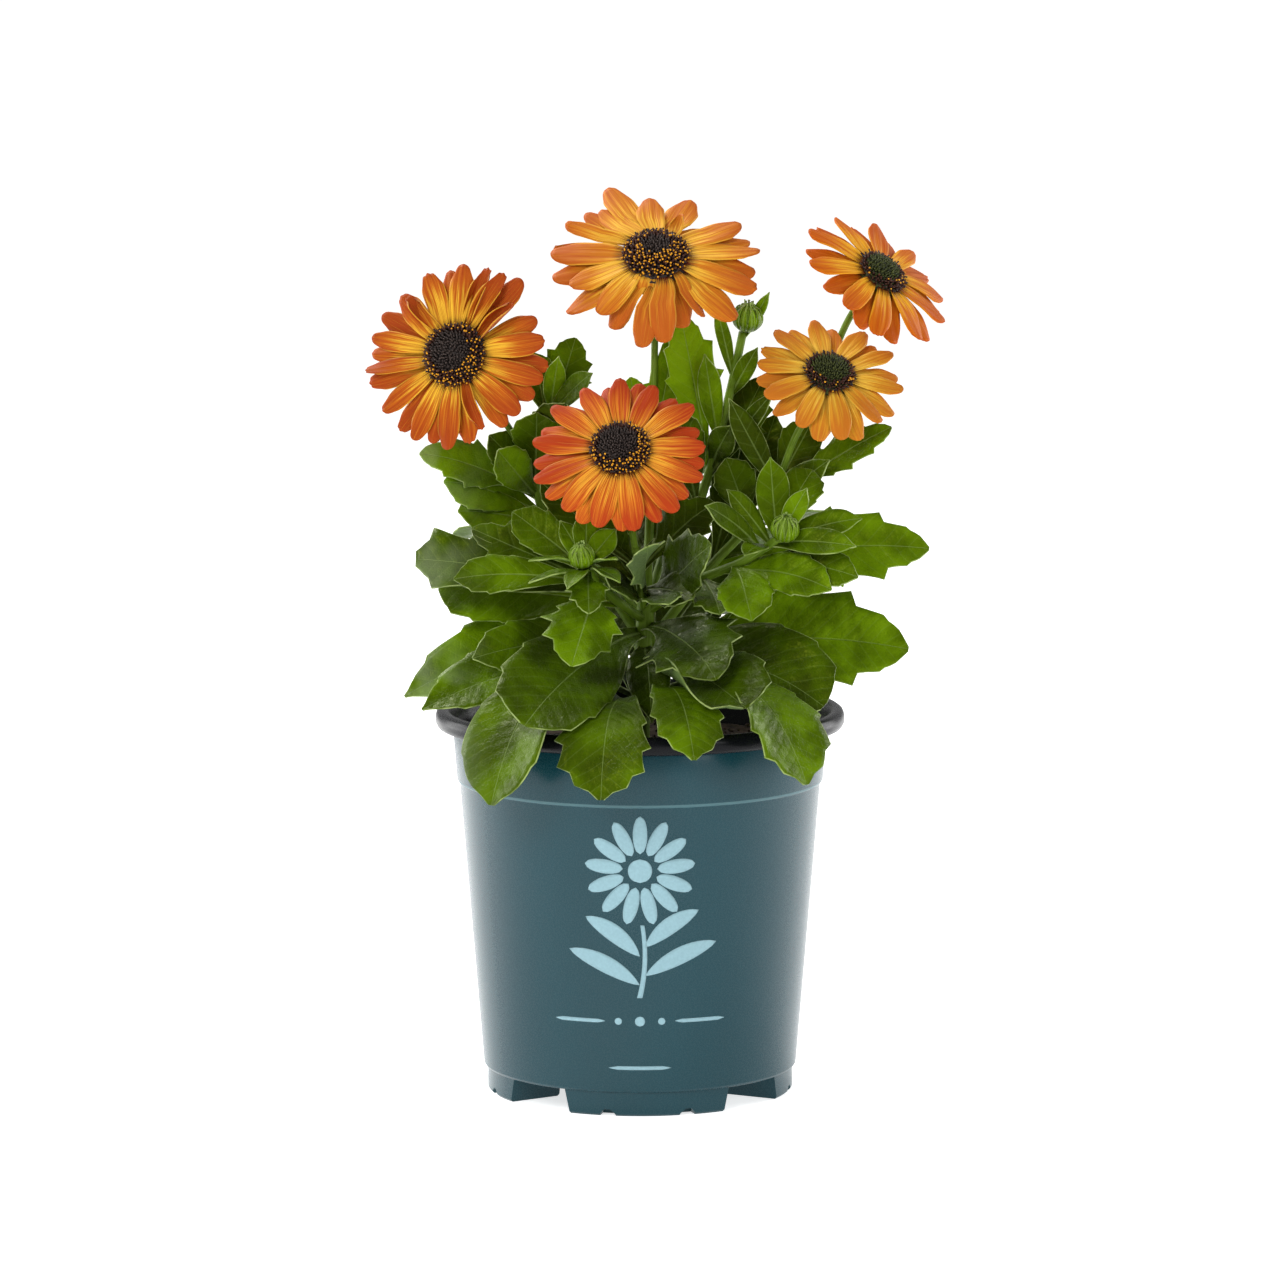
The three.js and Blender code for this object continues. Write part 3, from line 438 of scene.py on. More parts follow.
def eased(table, s):
    """A smooth curve through a table of (where, value), at s."""
    i = max(k for k in range(len(table) - 1) if table[k][0] <= s or k == 0)
    (s0, a), (s1, b) = table[i], table[i + 1]
    before = table[i - 1] if i else (2 * s0 - s1, a)
    after = table[i + 2] if i + 2 < len(table) else (2 * s1 - s0, b)
    w, gap = (s - s0) / (s1 - s0), s1 - s0
    m0 = (b - before[1]) / (s1 - before[0]) * gap
    m1 = (after[1] - a) / (after[0] - s0) * gap
    return a + m0 * w + (3 * (b - a) - 2 * m0 - m1) * w**2 + (2 * (a - b) + m0 + m1) * w**3


def new_shape():
    """An empty mesh with a map and the values that the finishes read."""
    bm = bmesh.new()
    bm.loops.layers.uv.new("blade")
    for name in ("light_and_tint", "span", "reach"):
        bm.verts.layers.float.new(name)
    return bm


def values(bm, vert, light_and_tint=0.5, span=5.0, reach=20.0):
    for name, value in (("light_and_tint", light_and_tint), ("span", span), ("reach", reach)):
        vert[bm.verts.layers.float[name]] = value


def grid_into(bm, across, rows):
    """Adds a flat grid. Gives its vertices with u from -1 to 1 across and s from 0 to 1 along it."""
    made = bmesh.ops.create_grid(bm, x_segments=across, y_segments=rows, size=1, calc_uvs=True)
    return [(v, v.co.x, (v.co.y + 1) / 2) for v in made["verts"]]


def paint(made, material):
    """Gives the faces that a bmesh operator made one of the piece's materials."""
    for face in {f for v in made["verts"] for f in v.link_faces}:
        face.material_index = material


def finish_piece(name, bm, node, materials, weld=False):
    """A finished piece: its mesh and finishes, its body, and the solid that it stands for."""
    if weld:
        bmesh.ops.remove_doubles(bm, verts=bm.verts, dist=2e-6)
        bmesh.ops.recalc_face_normals(bm, faces=bm.faces)
    mesh = bpy.data.meshes.new(name)
    bm.to_mesh(mesh)
    bm.free()
    for material in materials:
        mesh.materials.append(material)
    mesh.shade_smooth()
    obj = bpy.data.objects.new(name, mesh)
    bpy.context.scene.collection.objects.link(obj)
    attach(obj, "root")
    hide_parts(node)
    return obj


def thicken(obj, thickness, offset=-1.0, underside=1):
    m = obj.modifiers.new("thickness", "SOLIDIFY")
    m.thickness, m.offset, m.material_offset, m.use_even_offset = thickness, offset, underside, False


SHARP_ANGLE = math.radians(28)


def soften(obj, width):
    m = obj.modifiers.new("rounded edges", "BEVEL")
    m.width, m.segments, m.harden_normals = width, 2, True
    m.limit_method, m.angle_limit = "ANGLE", SHARP_ANGLE


# ---- Finishes ----

class Finish:
    """A material under construction, with short words for the nodes that it needs."""

    def __init__(self, name, roughness=0.5):
        self.material = bpy.data.materials.new(name)
        self.material.use_nodes = True
        self.tree = self.material.node_tree
        self.shader = self.tree.nodes["Principled BSDF"]
        self.shader.inputs["Roughness"].default_value = roughness

    def feed(self, socket, value):
        if isinstance(value, bpy.types.NodeSocket):
            self.tree.links.new(value, socket)
        elif socket.type == "RGBA":
            socket.default_value = (*value[:3], 1)
        else:
            socket.default_value = value

    def node(self, kind, inputs=(), **settings):
        n = self.tree.nodes.new(kind)
        for key, value in settings.items():
            setattr(n, key, value)
        for key, value in dict(inputs).items():
            self.feed(n.inputs[key], value)
        return n

    def math(self, operation, a, b=0.0, clamp=False):
        return self.node("ShaderNodeMath", {0: a, 1: b}, operation=operation, use_clamp=clamp).outputs[0]

    def plus(self, a, b, clamp=False):
        return self.math("ADD", a, b, clamp)

    def times(self, a, b):
        return self.math("MULTIPLY", a, b)

    def minus(self, a, b):
        return self.math("SUBTRACT", a, b)

    def place(self):
        return self.node("ShaderNodeTexCoord").outputs["Object"]

    def band(self, value, low, high, out_low=0.0, out_high=1.0):
        """Smoothly maps a value from low..high to out_low..out_high."""
        inputs = {"Value": value, "From Min": low, "From Max": high,
                  "To Min": out_low, "To Max": out_high}
        return self.node("ShaderNodeMapRange", inputs, interpolation_type="SMOOTHSTEP").outputs[0]

    def blend(self, factor, a, b):
        return self.node("ShaderNodeMix", {0: factor, 6: a, 7: b}, data_type="RGBA").outputs[2]

    def ramp(self, value, stops):
        n = self.node("ShaderNodeValToRGB", {0: value})
        while len(n.color_ramp.elements) < len(stops):
            n.color_ramp.elements.new(0.5)
        for element, (at, rgb) in zip(n.color_ramp.elements, stops):
            element.position = at
            element.color = (*rgb, 1)
        return n.outputs[0]

    def noise(self, scale, detail=3.0, coords=None, stretch=None):
        source = coords or self.place()
        if stretch:
            source = self.node("ShaderNodeMapping", {"Vector": source, "Scale": stretch}).outputs[0]
        inputs = {"Vector": source, "Scale": scale, "Detail": detail}
        return self.node("ShaderNodeTexNoise", inputs).outputs[0]

    def blade(self):
        """The piece's own map: across it and along it, both from 0 to 1."""
        self.map = self.node("ShaderNodeUVMap", uv_map="blade").outputs[0]
        split = self.node("ShaderNodeSeparateXYZ", {0: self.map})
        return split.outputs[0], split.outputs[1]

    def off_middle(self, across):
        """0 on the midrib and 1 at both edges."""
        return self.math("ABSOLUTE", self.minus(self.times(across, 2.0), 1.0))

    def value(self, name):
        return self.node("ShaderNodeAttribute", attribute_name=name).outputs["Fac"]

    def bump(self, height, distance, strength):
        inputs = {"Height": height, "Distance": distance, "Strength": strength}
        self.feed(self.shader.inputs["Normal"], self.node("ShaderNodeBump", inputs).outputs[0])

    def set(self, **sockets):
        for name, value in sockets.items():
            self.feed(self.shader.inputs[name.replace("_", " ")], value)


def leaf_finish(upper):
    """A leaf's skin: mottled green with painted light and shade, a pale midrib, slanting side veins, a
    fine pale edge that is partly a painted highlight, and a painted sheen in patches on the left leaves.
    """
    s = bpy.context.scene.osteospermum_foliage
    f = Finish("leaf upper side" if upper else "leaf underside")
    across, along = f.blade()
    off = f.off_middle(across)
    span, reach = f.value("span"), f.value("reach")
    from_midrib = f.times(off, span)
    from_edge = f.times(f.minus(1.0, off), span)
    up_leaf = f.times(along, reach)
    coarse, fine, swell = f.noise(55, 4), f.noise(420, 2), f.noise(85, 2)
    # light_and_tint: painted light and shade, how sunlit the leaf is, mottled, and deeper towards its
    # stalk
    light = f.plus(f.value("light_and_tint"), f.band(coarse, 0.32, 0.68, -0.26, 0.22))
    light = f.plus(light, f.band(along, 0.1, 0.6, -0.14, 0.04), clamp=True)
    green = f.ramp(light, ((0.0, s.painted_shade_green), (0.45, s.mid_green), (1.0, s.sunlit_green)))
    # side veins leave the midrib at even steps and slant towards the tip
    slant = f.minus(up_leaf, f.times(from_midrib, 0.9))
    count = f.plus(f.math("DIVIDE", slant, VEIN_SPACING), f.times(coarse, 0.8))
    to_vein = f.math("ABSOLUTE", f.minus(f.math("FRACT", count), 0.5))
    vein = f.band(to_vein, 0.0, 0.075, 1.0, 0.0)
    pucker = f.band(to_vein, 0.0, 0.4)
    midrib = f.band(from_midrib, 0.1, f.minus(0.85, f.times(along, 0.65)), 1.0, 0.0)
    # the fine pale edge: partly the leaf's own pale margin, partly a painted highlight where the edge
    # catches light
    broken = f.band(f.noise(160, 1), 0.36, 0.62, 0.2, 0.74)
    edge = f.times(f.band(from_edge, 0.04, 0.24, 1.0, 0.0), broken)
    skin = f.blend(f.times(vein, 0.09), green, s.vein_green)
    skin = f.blend(f.times(midrib, 0.3), skin, s.vein_green)
    skin = f.blend(f.times(edge, 0.85), skin, s.edge_and_highlight_green)
    if not upper:
        skin = f.blend(0.4, skin, s.under_green)
    inputs = {"Vector": f.place(), "Scale": 620.0}
    cells = f.node("ShaderNodeTexVoronoi", inputs, feature="DISTANCE_TO_EDGE").outputs[0]
    # the relief: raised quilts between the veins, the midrib's groove, cells and slow swellings
    relief = f.plus(f.times(pucker, 0.36), f.times(midrib, -0.8 if upper else 1.2))
    relief = f.plus(relief, f.times(f.band(cells, 0.0, 0.12), 0.22))
    relief = f.plus(relief, f.times(swell, 6))
    f.bump(f.plus(relief, f.times(f.noise(230, 3), 1.1)), 0.0004, 0.75)
    low, high = (0.26, 0.4) if upper else (0.5, 0.66)
    # on the leaves of the left side, in patches: a painted sheen, pale green mixed into the base colour,
    # and a coat over the same patches
    place_x = f.node("ShaderNodeSeparateXYZ", {0: f.place()}).outputs[0]
    painted_sheen_and_coat = f.times(f.band(place_x, -0.065, -0.1), f.band(f.noise(38, 2), 0.44, 0.6))
    # painted sheen: pale green mixed into the leaf's colour
    skin = f.blend(f.times(painted_sheen_and_coat, 0.14), skin, (0.50, 0.58, 0.36))
    f.set(Base_Color=skin, Roughness=f.band(fine, 0.3, 0.7, low, high),
          Specular_IOR_Level=0.24, Specular_Tint=(0.6, 0.68, 0.06),
          Coat_Weight=f.times(painted_sheen_and_coat, 0.6), Coat_Roughness=0.3)
    return f.material


def stem_finish():
    """Stems, stalks and buds: ribbed green with paler streaks along them."""
    s = bpy.context.scene.osteospermum_foliage
    f = Finish("stems and buds")
    f.blade()
    streaks = f.noise(7, 3, coords=f.map, stretch=(3, 0.6, 1))
    patches = f.noise(70, 3)
    green = f.blend(f.band(patches, 0.3, 0.7), s.stem_green, s.mid_green)
    f.bump(f.plus(streaks, f.noise(900, 2)), 0.0002, 0.5)
    f.set(Base_Color=f.blend(f.band(streaks, 0.5, 0.72, 0.0, 0.3), green, s.vein_green),
          Specular_IOR_Level=0.35, Specular_Tint=(0.6, 0.68, 0.3))
    return f.material


# Base, throat, body, tip and stripe colours of the ray petals, and how strong the stripes are.
PETAL_COLOURS = {
    "amber": ((0.07, 0.008, 0.008), (0.7, 0.389, 0.03), (0.44, 0.105, 0.008), (0.29, 0.04, 0.006), 0.65),
    "gold": ((0.08, 0.008, 0.012), (0.74, 0.41, 0.04), (0.56, 0.20, 0.013), (0.40, 0.085, 0.01), 0.6),
    "copper": ((0.08, 0.01, 0.006), (0.72, 0.35, 0.02), (0.55, 0.15, 0.006), (0.42, 0.072, 0.004), 0.6),
    "honey": ((0.12, 0.02, 0.008), (0.70, 0.43, 0.05), (0.56, 0.26, 0.018), (0.44, 0.13, 0.012), 0.62),
    "flame": ((0.07, 0.008, 0.006), (0.72, 0.33, 0.03), (0.562, 0.15, 0.014), (0.36, 0.036, 0.008), 0.85),
}


def petal_finish(kind, upper):
    """Ray petals: dark at the very base, then yellow, deepening to the tip, with fine stripes."""
    base, throat, body, tip, stripes = PETAL_COLOURS[kind]
    f = Finish(f"{kind} petals" + ("" if upper else " underside"))
    across, along = f.blade()
    light_and_tint = f.value("light_and_tint")
    apart = f.node("ShaderNodeCombineXYZ", {0: f.times(light_and_tint, 37.0)}).outputs[0]
    own = f.node("ShaderNodeVectorMath", {0: f.map, 1: apart}, operation="ADD").outputs[0]
    streak = f.noise(5, 3, coords=own, stretch=(1.6, 0.2, 1))
    hair = f.noise(20, 3, coords=own, stretch=(1.9, 0.06, 1))
    where = f.plus(along, f.band(streak, 0.3, 0.7, -0.22, 0.22))
    where = f.plus(where, f.times(f.minus(light_and_tint, 0.5), 0.47))
    skin = f.ramp(where, ((0.0, throat), (0.22, throat), (0.46, body), (0.9, tip)))
    skin = f.blend(f.band(hair, 0.46, 0.57, 0.0, stripes), skin, tip)
    skin = f.blend(f.band(hair, 0.3, 0.44, 0.34, 0.0), skin, throat)
    off = f.off_middle(across)
    skin = f.blend(f.band(off, 0.86, 1.0, 0.0, 0.6), skin, throat)
    rim = f.plus(along, f.band(hair, 0.38, 0.6, 0.06, -0.06))
    skin = f.blend(f.band(rim, 0.12, 0.22, 1.0, 0.0), skin, base)
    if not upper:
        skin = f.blend(0.45, skin, (0.36, 0.13, 0.07))
    f.bump(hair, 0.0003, 0.55)
    f.set(Base_Color=skin, Roughness=f.band(hair, 0.3, 0.7, 0.45, 0.6),
          Specular_IOR_Level=0.2, Specular_Tint=(1.0, 0.5, 0.15))
    return f.material


def grain_finish(name, dark, light, scale, roughness, depth=0.0002):
    """A speckled finish of two colours with a fine relief."""
    f = Finish(name, roughness)
    n = f.noise(scale, 3)
    f.bump(n, depth, 0.6)
    f.set(Base_Color=f.blend(f.band(n, 0.35, 0.7), dark, light), Specular_IOR_Level=0.25)
    return f.material


def moulded_finish(name, base, roughness, gloss):
    """Moulded plastic: one colour with faint flow marks, a very fine grain and a soft gloss."""
    f = Finish(name, roughness)
    base = tuple(base)
    flow, fine = f.noise(14, 2, stretch=(1, 1, 0.3)), f.noise(2200, 2)
    f.bump(fine, 0.00005, 0.4)
    paler = tuple(min(1, c * 1.14) for c in base)
    f.set(Base_Color=f.blend(f.band(flow, 0.3, 0.7), base, paler), Specular_IOR_Level=gloss,
          Roughness=f.band(fine, 0.3, 0.7, roughness - 0.05, roughness + 0.05))
    return f.material


# ---- Leaves, stems and buds ----

ANY_PHASE = 6.28  # about a full turn: ripples and waves start anywhere in it


def rows_of(outline, count):
    """Where a leaf's rows stand: evenly, and on larger leaves also at each tooth and behind it."""
    anchors = [(0, 0.0)]
    for point, _ in outline["teeth"] if count > 20 else ():
        k = max(round(point * count), anchors[-1][0] + 1)
        anchors += [(k, point), (k + 1, point + NOTCH)]
    anchors.append((count, 1.0))
    rows = []
    for (k0, s0), (k1, s1) in zip(anchors, anchors[1:]):
        rows += [s0 + (s1 - s0) * k / (k1 - k0) for k in range(k1 - k0)]
    return [*rows, 1.0]


def tooth_at(outline, s):
    """How far the teeth stand out from a leaf's outline at s: each rises to its point and drops."""
    start = outline["teeth"][0][0] - 0.12 if outline["teeth"] else 0
    for point, depth in outline["teeth"]:
        if s <= point + 1e-6:
            return depth * max(0, (s - start) / (point - start)) ** 1.8
        start = point + NOTCH
    return 0


def leaf_into(bm, outline, root, tip, width, light_and_tint, arch=0, face=0, crest=0.5, rolled=0, seed=0):
    """Adds a leaf: a blade bent along its midrib, folded, rippled at its edges and quilted."""
    root, tip = Vector(root), Vector(tip)
    over = root.lerp(tip, crest) + UP * arch
    turn = math.radians(face)
    towards = Vector((0, -math.sin(turn), math.cos(turn)))
    luck = draws(101 + seed)
    phase, phase2 = ANY_PHASE * next(luck), ANY_PHASE * next(luck)
    slide = {side: 0.025 + 0.07 * (next(luck) - 0.5) for side in (1, -1)}
    bite = {side: 0.8 + 0.5 * next(luck) for side in (1, -1)}
    bow = 0.07 * width * (next(luck) - 0.5)
    fold = FOLD if width >= 33 else 0.1 + 0.1 * next(luck)
    count, across = (46, 12) if width >= 20 else (30, 8) if width >= 13 else (16, 6)
    where = rows_of(outline, count)
    reach = (over - root).length * 0.5 + (tip - over).length * 0.5 + (tip - root).length * 0.5
    for v, u, row in grid_into(bm, across, count):
        s, side_of = where[round(row * count)], 1 if u > 0 else -1
        middle = bent(root, over, tip, s)
        along = ((over - root) * (1 - s) + (tip - over) * s).normalized()
        side = along.cross(towards).normalized()
        normal = side.cross(along)
        half = max(0.01, eased(outline["form"], s)) * width / 2
        swell = math.sin(math.pi * min(1, s * 1.05)) ** 0.8
        tooth = tooth_at(outline, s) * bite[side_of] * width / 2 * abs(u) ** 4
        x = half * u + side_of * tooth + bow * math.sin(math.pi * s)
        ripple = 0.042 * width * math.sin(10 * s + phase + u) * u * u * swell
        quilt = 0.003 * width * math.cos(38 * s - 6 * abs(u) + phase2) * abs(u) * (1 - abs(u)) * 2 * swell
        groove = 0.02 * half * math.exp(-((u / 0.09) ** 2))
        sway = 0.035 * width * math.sin(5 * s + phase2) * swell
        if u * rolled > 0.5:
            turned = 2.7 * (abs(u) - 0.5) / 0.5 * swell
            coil = half * 0.5 / max(turned, 0.01) if turned else 0
            x = rolled * (0.5 * half + coil * math.sin(turned) * (abs(u) - 0.5) / 0.5)
            groove -= coil * (1 - math.cos(turned)) * (abs(u) - 0.5) / 0.5
        slid = slide[side_of] * reach * abs(u) ** 3 * math.sin(math.pi * s)
        v.co = place(middle + side * x + along * slid
                     + normal * (fold * half * abs(u) ** 1.6 + ripple + quilt - groove + sway))
        values(bm, v, light_and_tint, half + abs(tooth), reach)


def tube_into(bm, points, radius, tip_radius, steps, ring=10):
    """Adds a round stem along the smooth curve through the points, closed at both ends."""
    path = [catmull(points, i / steps) for i in range(steps + 1)]
    frames, side = [], (path[1] - path[0]).orthogonal()
    for i in range(steps + 1):
        along = (path[min(i + 1, steps)] - path[max(i - 1, 0)]).normalized()
        side = (side - along * side.dot(along)).normalized()
        frames.append((side, along.cross(side)))
    for v, u, s in grid_into(bm, ring, steps + 2):
        row = round(s * (steps + 2))
        i = min(max(row - 1, 0), steps)
        a = math.pi * (u + 1)
        r = 0 if row in (0, steps + 2) else radius + (tip_radius - radius) * i / steps
        v.co = place(path[i] + (frames[i][0] * math.cos(a) + frames[i][1] * math.sin(a)) * r)
        values(bm, v, 0.5, radius, steps * 3)


def stand(at, out):
    """A frame at a place with its Z axis along out."""
    turn = Vector(out).to_track_quat("Z", "Y").to_matrix().to_4x4()
    return Matrix.Translation(place(at)) @ turn @ Matrix.Scale(MM, 4)


def spun_into(bm, profile, steps, at=None, arc=360.0, closed=False):
    """Adds a shape spun about the Z axis of `at` from a profile of (radius, height)."""
    first = len(bm.verts)
    verts = [bm.verts.new((r, 0, z)) for r, z in profile]
    edges = [bm.edges.new(pair) for pair in zip(verts, verts[1:])]
    if closed:
        edges.append(bm.edges.new((verts[-1], verts[0])))
    full = arc > 359
    bmesh.ops.spin(bm, geom=verts + edges, cent=(0, 0, 0), axis=(0, 0, 1), angle=math.radians(arc),
                   steps=steps, use_merge=full, use_duplicate=False)
    bm.verts.ensure_lookup_table()
    fresh = bm.verts[first:]
    bmesh.ops.transform(bm, matrix=at or Matrix.Scale(MM, 4), verts=fresh)
    for v in fresh:
        values(bm, v)
    return fresh


BUD_FORM = ((-0.95, 0.12), (-0.8, 0.5), (-0.45, 0.88), (0, 1), (0.4, 0.86), (0.75, 0.58), (1, 0.06))
BUD_LENGTH = 1.2  # of its width


def bud_into(stems, leaves, middle, radius, turn, lift, seed):
    """Adds a closed bud: an egg wrapped in two rows of overlapping bracts."""
    out = facing(turn, lift)
    at = stand(middle, out)
    reach = BUD_LENGTH * radius
    form = [(eased(BUD_FORM, h) * radius, h * reach) for h in (-0.95 + 0.195 * k for k in range(11))]
    spun_into(stems, [(0, -0.97 * reach), *form, (0, 1.02 * reach)], 24, at)
    luck = draws(500 + seed)
    for row, (count, low, high) in enumerate(((9, -0.9, 1.16), (11, -0.85, 0.86))):
        for k in range(count):
            a0 = 2 * math.pi * (k + 0.5 * row) / count + 0.2 * (next(luck) - 0.5)
            top = high + 0.22 * (next(luck) - 0.5)
            for v, u, s in grid_into(leaves, 6, 12):
                h = low + (top - low) * s
                r = max(eased(BUD_FORM, min(h, 0.98)), 0.3 if h > 0 else 0) * radius
                wide = 1.2 * math.pi / count * min(1, 3 * s + 0.3) * (1 - s**1.8) ** 0.8
                lip = 1.03 + 0.05 * row + 0.1 * (1 - u * u) + (0.16 + 0.16 * row) * s**5
                a = a0 + u * wide
                local = Vector((r * lip * math.cos(a), r * lip * math.sin(a), h * reach))
                v.co = at @ local
                values(leaves, v, 0.95 - 0.3 * row, wide * r, 2 * radius)


CUP_BRACTS = 15


def cup_into(stems, leaves, bloom, seed):
    """Adds the green cup behind a head, with the narrow bracts that hold its petals."""
    right, up, out = axes_of(bloom)
    r, centre = bloom["disc"], Vector(bloom["at"])
    brim = -GAP - COLLAR / 2 - 0.1
    profile = ((0, -CUP_DEPTH), (1.9, -CUP_DEPTH), (0.42 * r, -6.6), (0.6 * r, -4.6), (0.7 * r, -2.8),
               (0.72 * r, brim), (0, brim))
    spun_into(stems, profile, 24, stand(centre, out))
    luck = draws(700 + seed)
    for k in range(CUP_BRACTS):
        a = 2 * math.pi * (k + 0.3 * (next(luck) - 0.5)) / CUP_BRACTS
        away = right * math.sin(a) + up * math.cos(a)
        root = centre - out * 7.4 + away * (0.22 * r)
        tip = centre - out * (1.75 + 0.25 * next(luck)) + away * (r * (1.0 + 0.12 * next(luck)))
        knee = centre - out * 5.2 + away * (0.78 * r)
        side = away.cross(out)
        for v, u, s in grid_into(leaves, 4, 9):
            middle = bent(root, knee, tip, s)
            half = 0.17 * r * (min(1, 4 * s + 0.4) * (1 - s**2.2) ** 0.7 + 0.02)
            v.co = place(middle + side * (u * half) - out * (0.3 * (1 - u * u)))
            values(leaves, v, 0.45, half, 9)


def shoot_pieces(name, shoot, first_seed, finishes):
    """Makes one shoot: a piece of leaves and bracts, and a piece of stems, buds and cups."""
    leaves, stems = new_shape(), new_shape()
    line = shoot["stem"]
    radius = shoot.get("radius", SHOOT_RADIUS)
    ring = 14 if radius > SHOOT_RADIUS else 10
    tube_into(stems, line, radius, radius * TAPER, 7 * (len(line) - 1), ring)
    for k, (outline, height, tip, width, light_and_tint, *form) in enumerate(shoot["leaves"]):
        leaf_into(leaves, outline, point_at(line, height), tip, width, light_and_tint, *form, seed=first_seed + k)
    for k, bud in enumerate(shoot.get("buds", ())):
        bud_into(stems, leaves, *bud, seed=first_seed + k)
    for bloom_name, height, via in shoot.get("stalks", ()):
        bloom = BLOOMS[bloom_name]
        out = facing(bloom["turn"], bloom["lift"])
        # straight into the cup, and ending inside it
        ends = [Vector(bloom["at"]) - out * (CUP_DEPTH + 6), Vector(bloom["at"]) - out * (CUP_DEPTH - 2)]
        points = [point_at(line, height), *(Vector(p) for p in via), *ends]
        tube_into(stems, points, STALK_RADIUS, STALK_RADIUS, 30)
        cup_into(stems, leaves, bloom, first_seed)
    upper, under, green = finishes
    blades = finish_piece(f"{name}_leaves", leaves, name, (upper, under))
    thicken(blades, bpy.context.scene.osteospermum_foliage.blade)
    finish_piece(f"{name}_stems", stems, name, (green,), weld=True)


# ---- Flower heads ----

# Half widths along a ray petal, as shares of the widest.
RAY = ((0, 0.36), (0.15, 0.6), (0.35, 0.85), (0.58, 0.98), (0.75, 1), (0.88, 0.93), (1, 0.68))


def petals_into(bm, bloom):
    """Adds the ray petals of one head, in an upper and a lower layer in turn."""
    right, up, out = axes_of(bloom)
    centre = Vector(bloom["at"])
    luck, extra = draws(bloom["seed"]), draws(bloom["seed"] + 40)
    rays = bloom["rays"]
    start = bloom["disc"] * 0.72
    share = 2 * math.pi / rays
    full = 1.25 if rays > 22 else 1.08  # petals are wider on a dense head, so that they lap
    for i in range(rays):
        layer = -1 if i % 2 else 1
        angle = (i + 0.24 * (next(luck) - 0.5)) * share
        reach = (bloom["radius"] - start) * (0.94 + 0.1 * next(luck) - (0.03 if i % 2 else 0))
        width = share * bloom["radius"] * (0.84 + 0.14 * next(luck))
        lift = bloom["cup"] + 0.5 * layer + 0.5 * (next(luck) - 0.5)
        fall = bloom["droop"] + bloom["sag"] * max(0, -math.cos(angle)) ** 2
        light_and_tint, phase, notch = next(extra), ANY_PHASE * next(extra), next(extra) ** 3
        bow, roll, stray = (next(extra) - 0.5 for _ in range(3))
        turn, long, fall2, twist, narrow, *more = bloom.get("odd", {}).get(
            i, (6 * stray, start + reach * (1 + 0.06 * bow), 1.5 * stray, 0, 1 - 0.12 * next(extra)))
        curl, light_and_tint = more or (0, light_and_tint)
        light_and_tint += bloom.get("blush", 0) * math.cos(angle)
        reach = long - start
        roll, bow = math.radians(22 * roll + twist), 2.2 * bow
        for v, u, s in grid_into(bm, 12, 18):
            aim = angle + math.radians(turn) * min(1, max(0, (s - 0.13) / 0.37))
            outward = right * math.sin(aim) + up * math.cos(aim)
            side = outward.cross(out)
            half = eased(RAY, s) * width / 2 * full * narrow
            # the tip is round, and on some petals it has two shallow notches
            short = 1.3 * half * (1 - math.sqrt(1 - 0.94 * u * u)) * s**4
            short += 0.8 * notch * (0.5 - 0.5 * math.cos(3 * math.pi * u)) * s**8 * (1 - u * u)
            r = start + reach * s - short
            h = layer * 0.8 + lift * s - (fall + fall2) * s * s
            crease = 0.22 * math.cos(3 * math.pi * u) * min(1, 4 * s) * (1 - 0.6 * s)
            channel = half * (0.16 * (1.3 - 2.4 * s) + curl * math.sin(math.pi * s * 0.9)) * u * u
            wave = 0.35 * math.sin(7 * s + phase) * u + 0.4 * math.sin(4 * s + phase) * s
            turned = roll * s
            x = u * half * math.cos(turned) * (1 - 0.35 * curl * u * u)
            z = h + crease + channel + wave + u * half * math.sin(turned)
            v.co = place(centre + outward * r + side * (x + bow * s * s) + out * z)
            values(bm, v, light_and_tint, half, reach)


# How far in the florets are open, on which side more of them are (degrees from the top), how many
# of those hold pollen, and the fringe of dark tips: how many, and how long as a share of the disc.
HEARTS = {
    "brown": dict(open_from=0.67, side=140, pollen=0.85, fringe=48, tips=0.23),
    "pollen": dict(open_from=0.44, side=180, pollen=0.88, fringe=48, tips=0.2),
    "dark": dict(open_from=0.72, side=150, pollen=0.12, fringe=32, tips=0.3),
    "green": dict(open_from=0.76, side=200, pollen=0.1, fringe=32, tips=0.3),
}


def dome(bloom, share):
    """Height of the disc's surface above the head's plane, at a share of its radius."""
    share = min(share, 0.999)
    return COLLAR / 2 + GAP + DISC_HEIGHT * bloom["disc"] * math.cos(math.pi / 2 * share**1.4) ** 0.7


def stud_into(bm, at, foot, lean, tall, wide, top, material):
    """Adds one six-sided floret or stamen standing on the disc."""
    upright = lean.to_track_quat("Z", "Y").to_matrix().to_4x4()
    turn = Matrix.Translation(foot + lean * (tall / 2)) @ upright
    made = bmesh.ops.create_cone(
        bm, cap_ends=True, segments=6, radius1=wide, radius2=top, depth=tall, matrix=at @ turn)
    paint(made, material)


GOLDEN_ANGLE = 2.39996


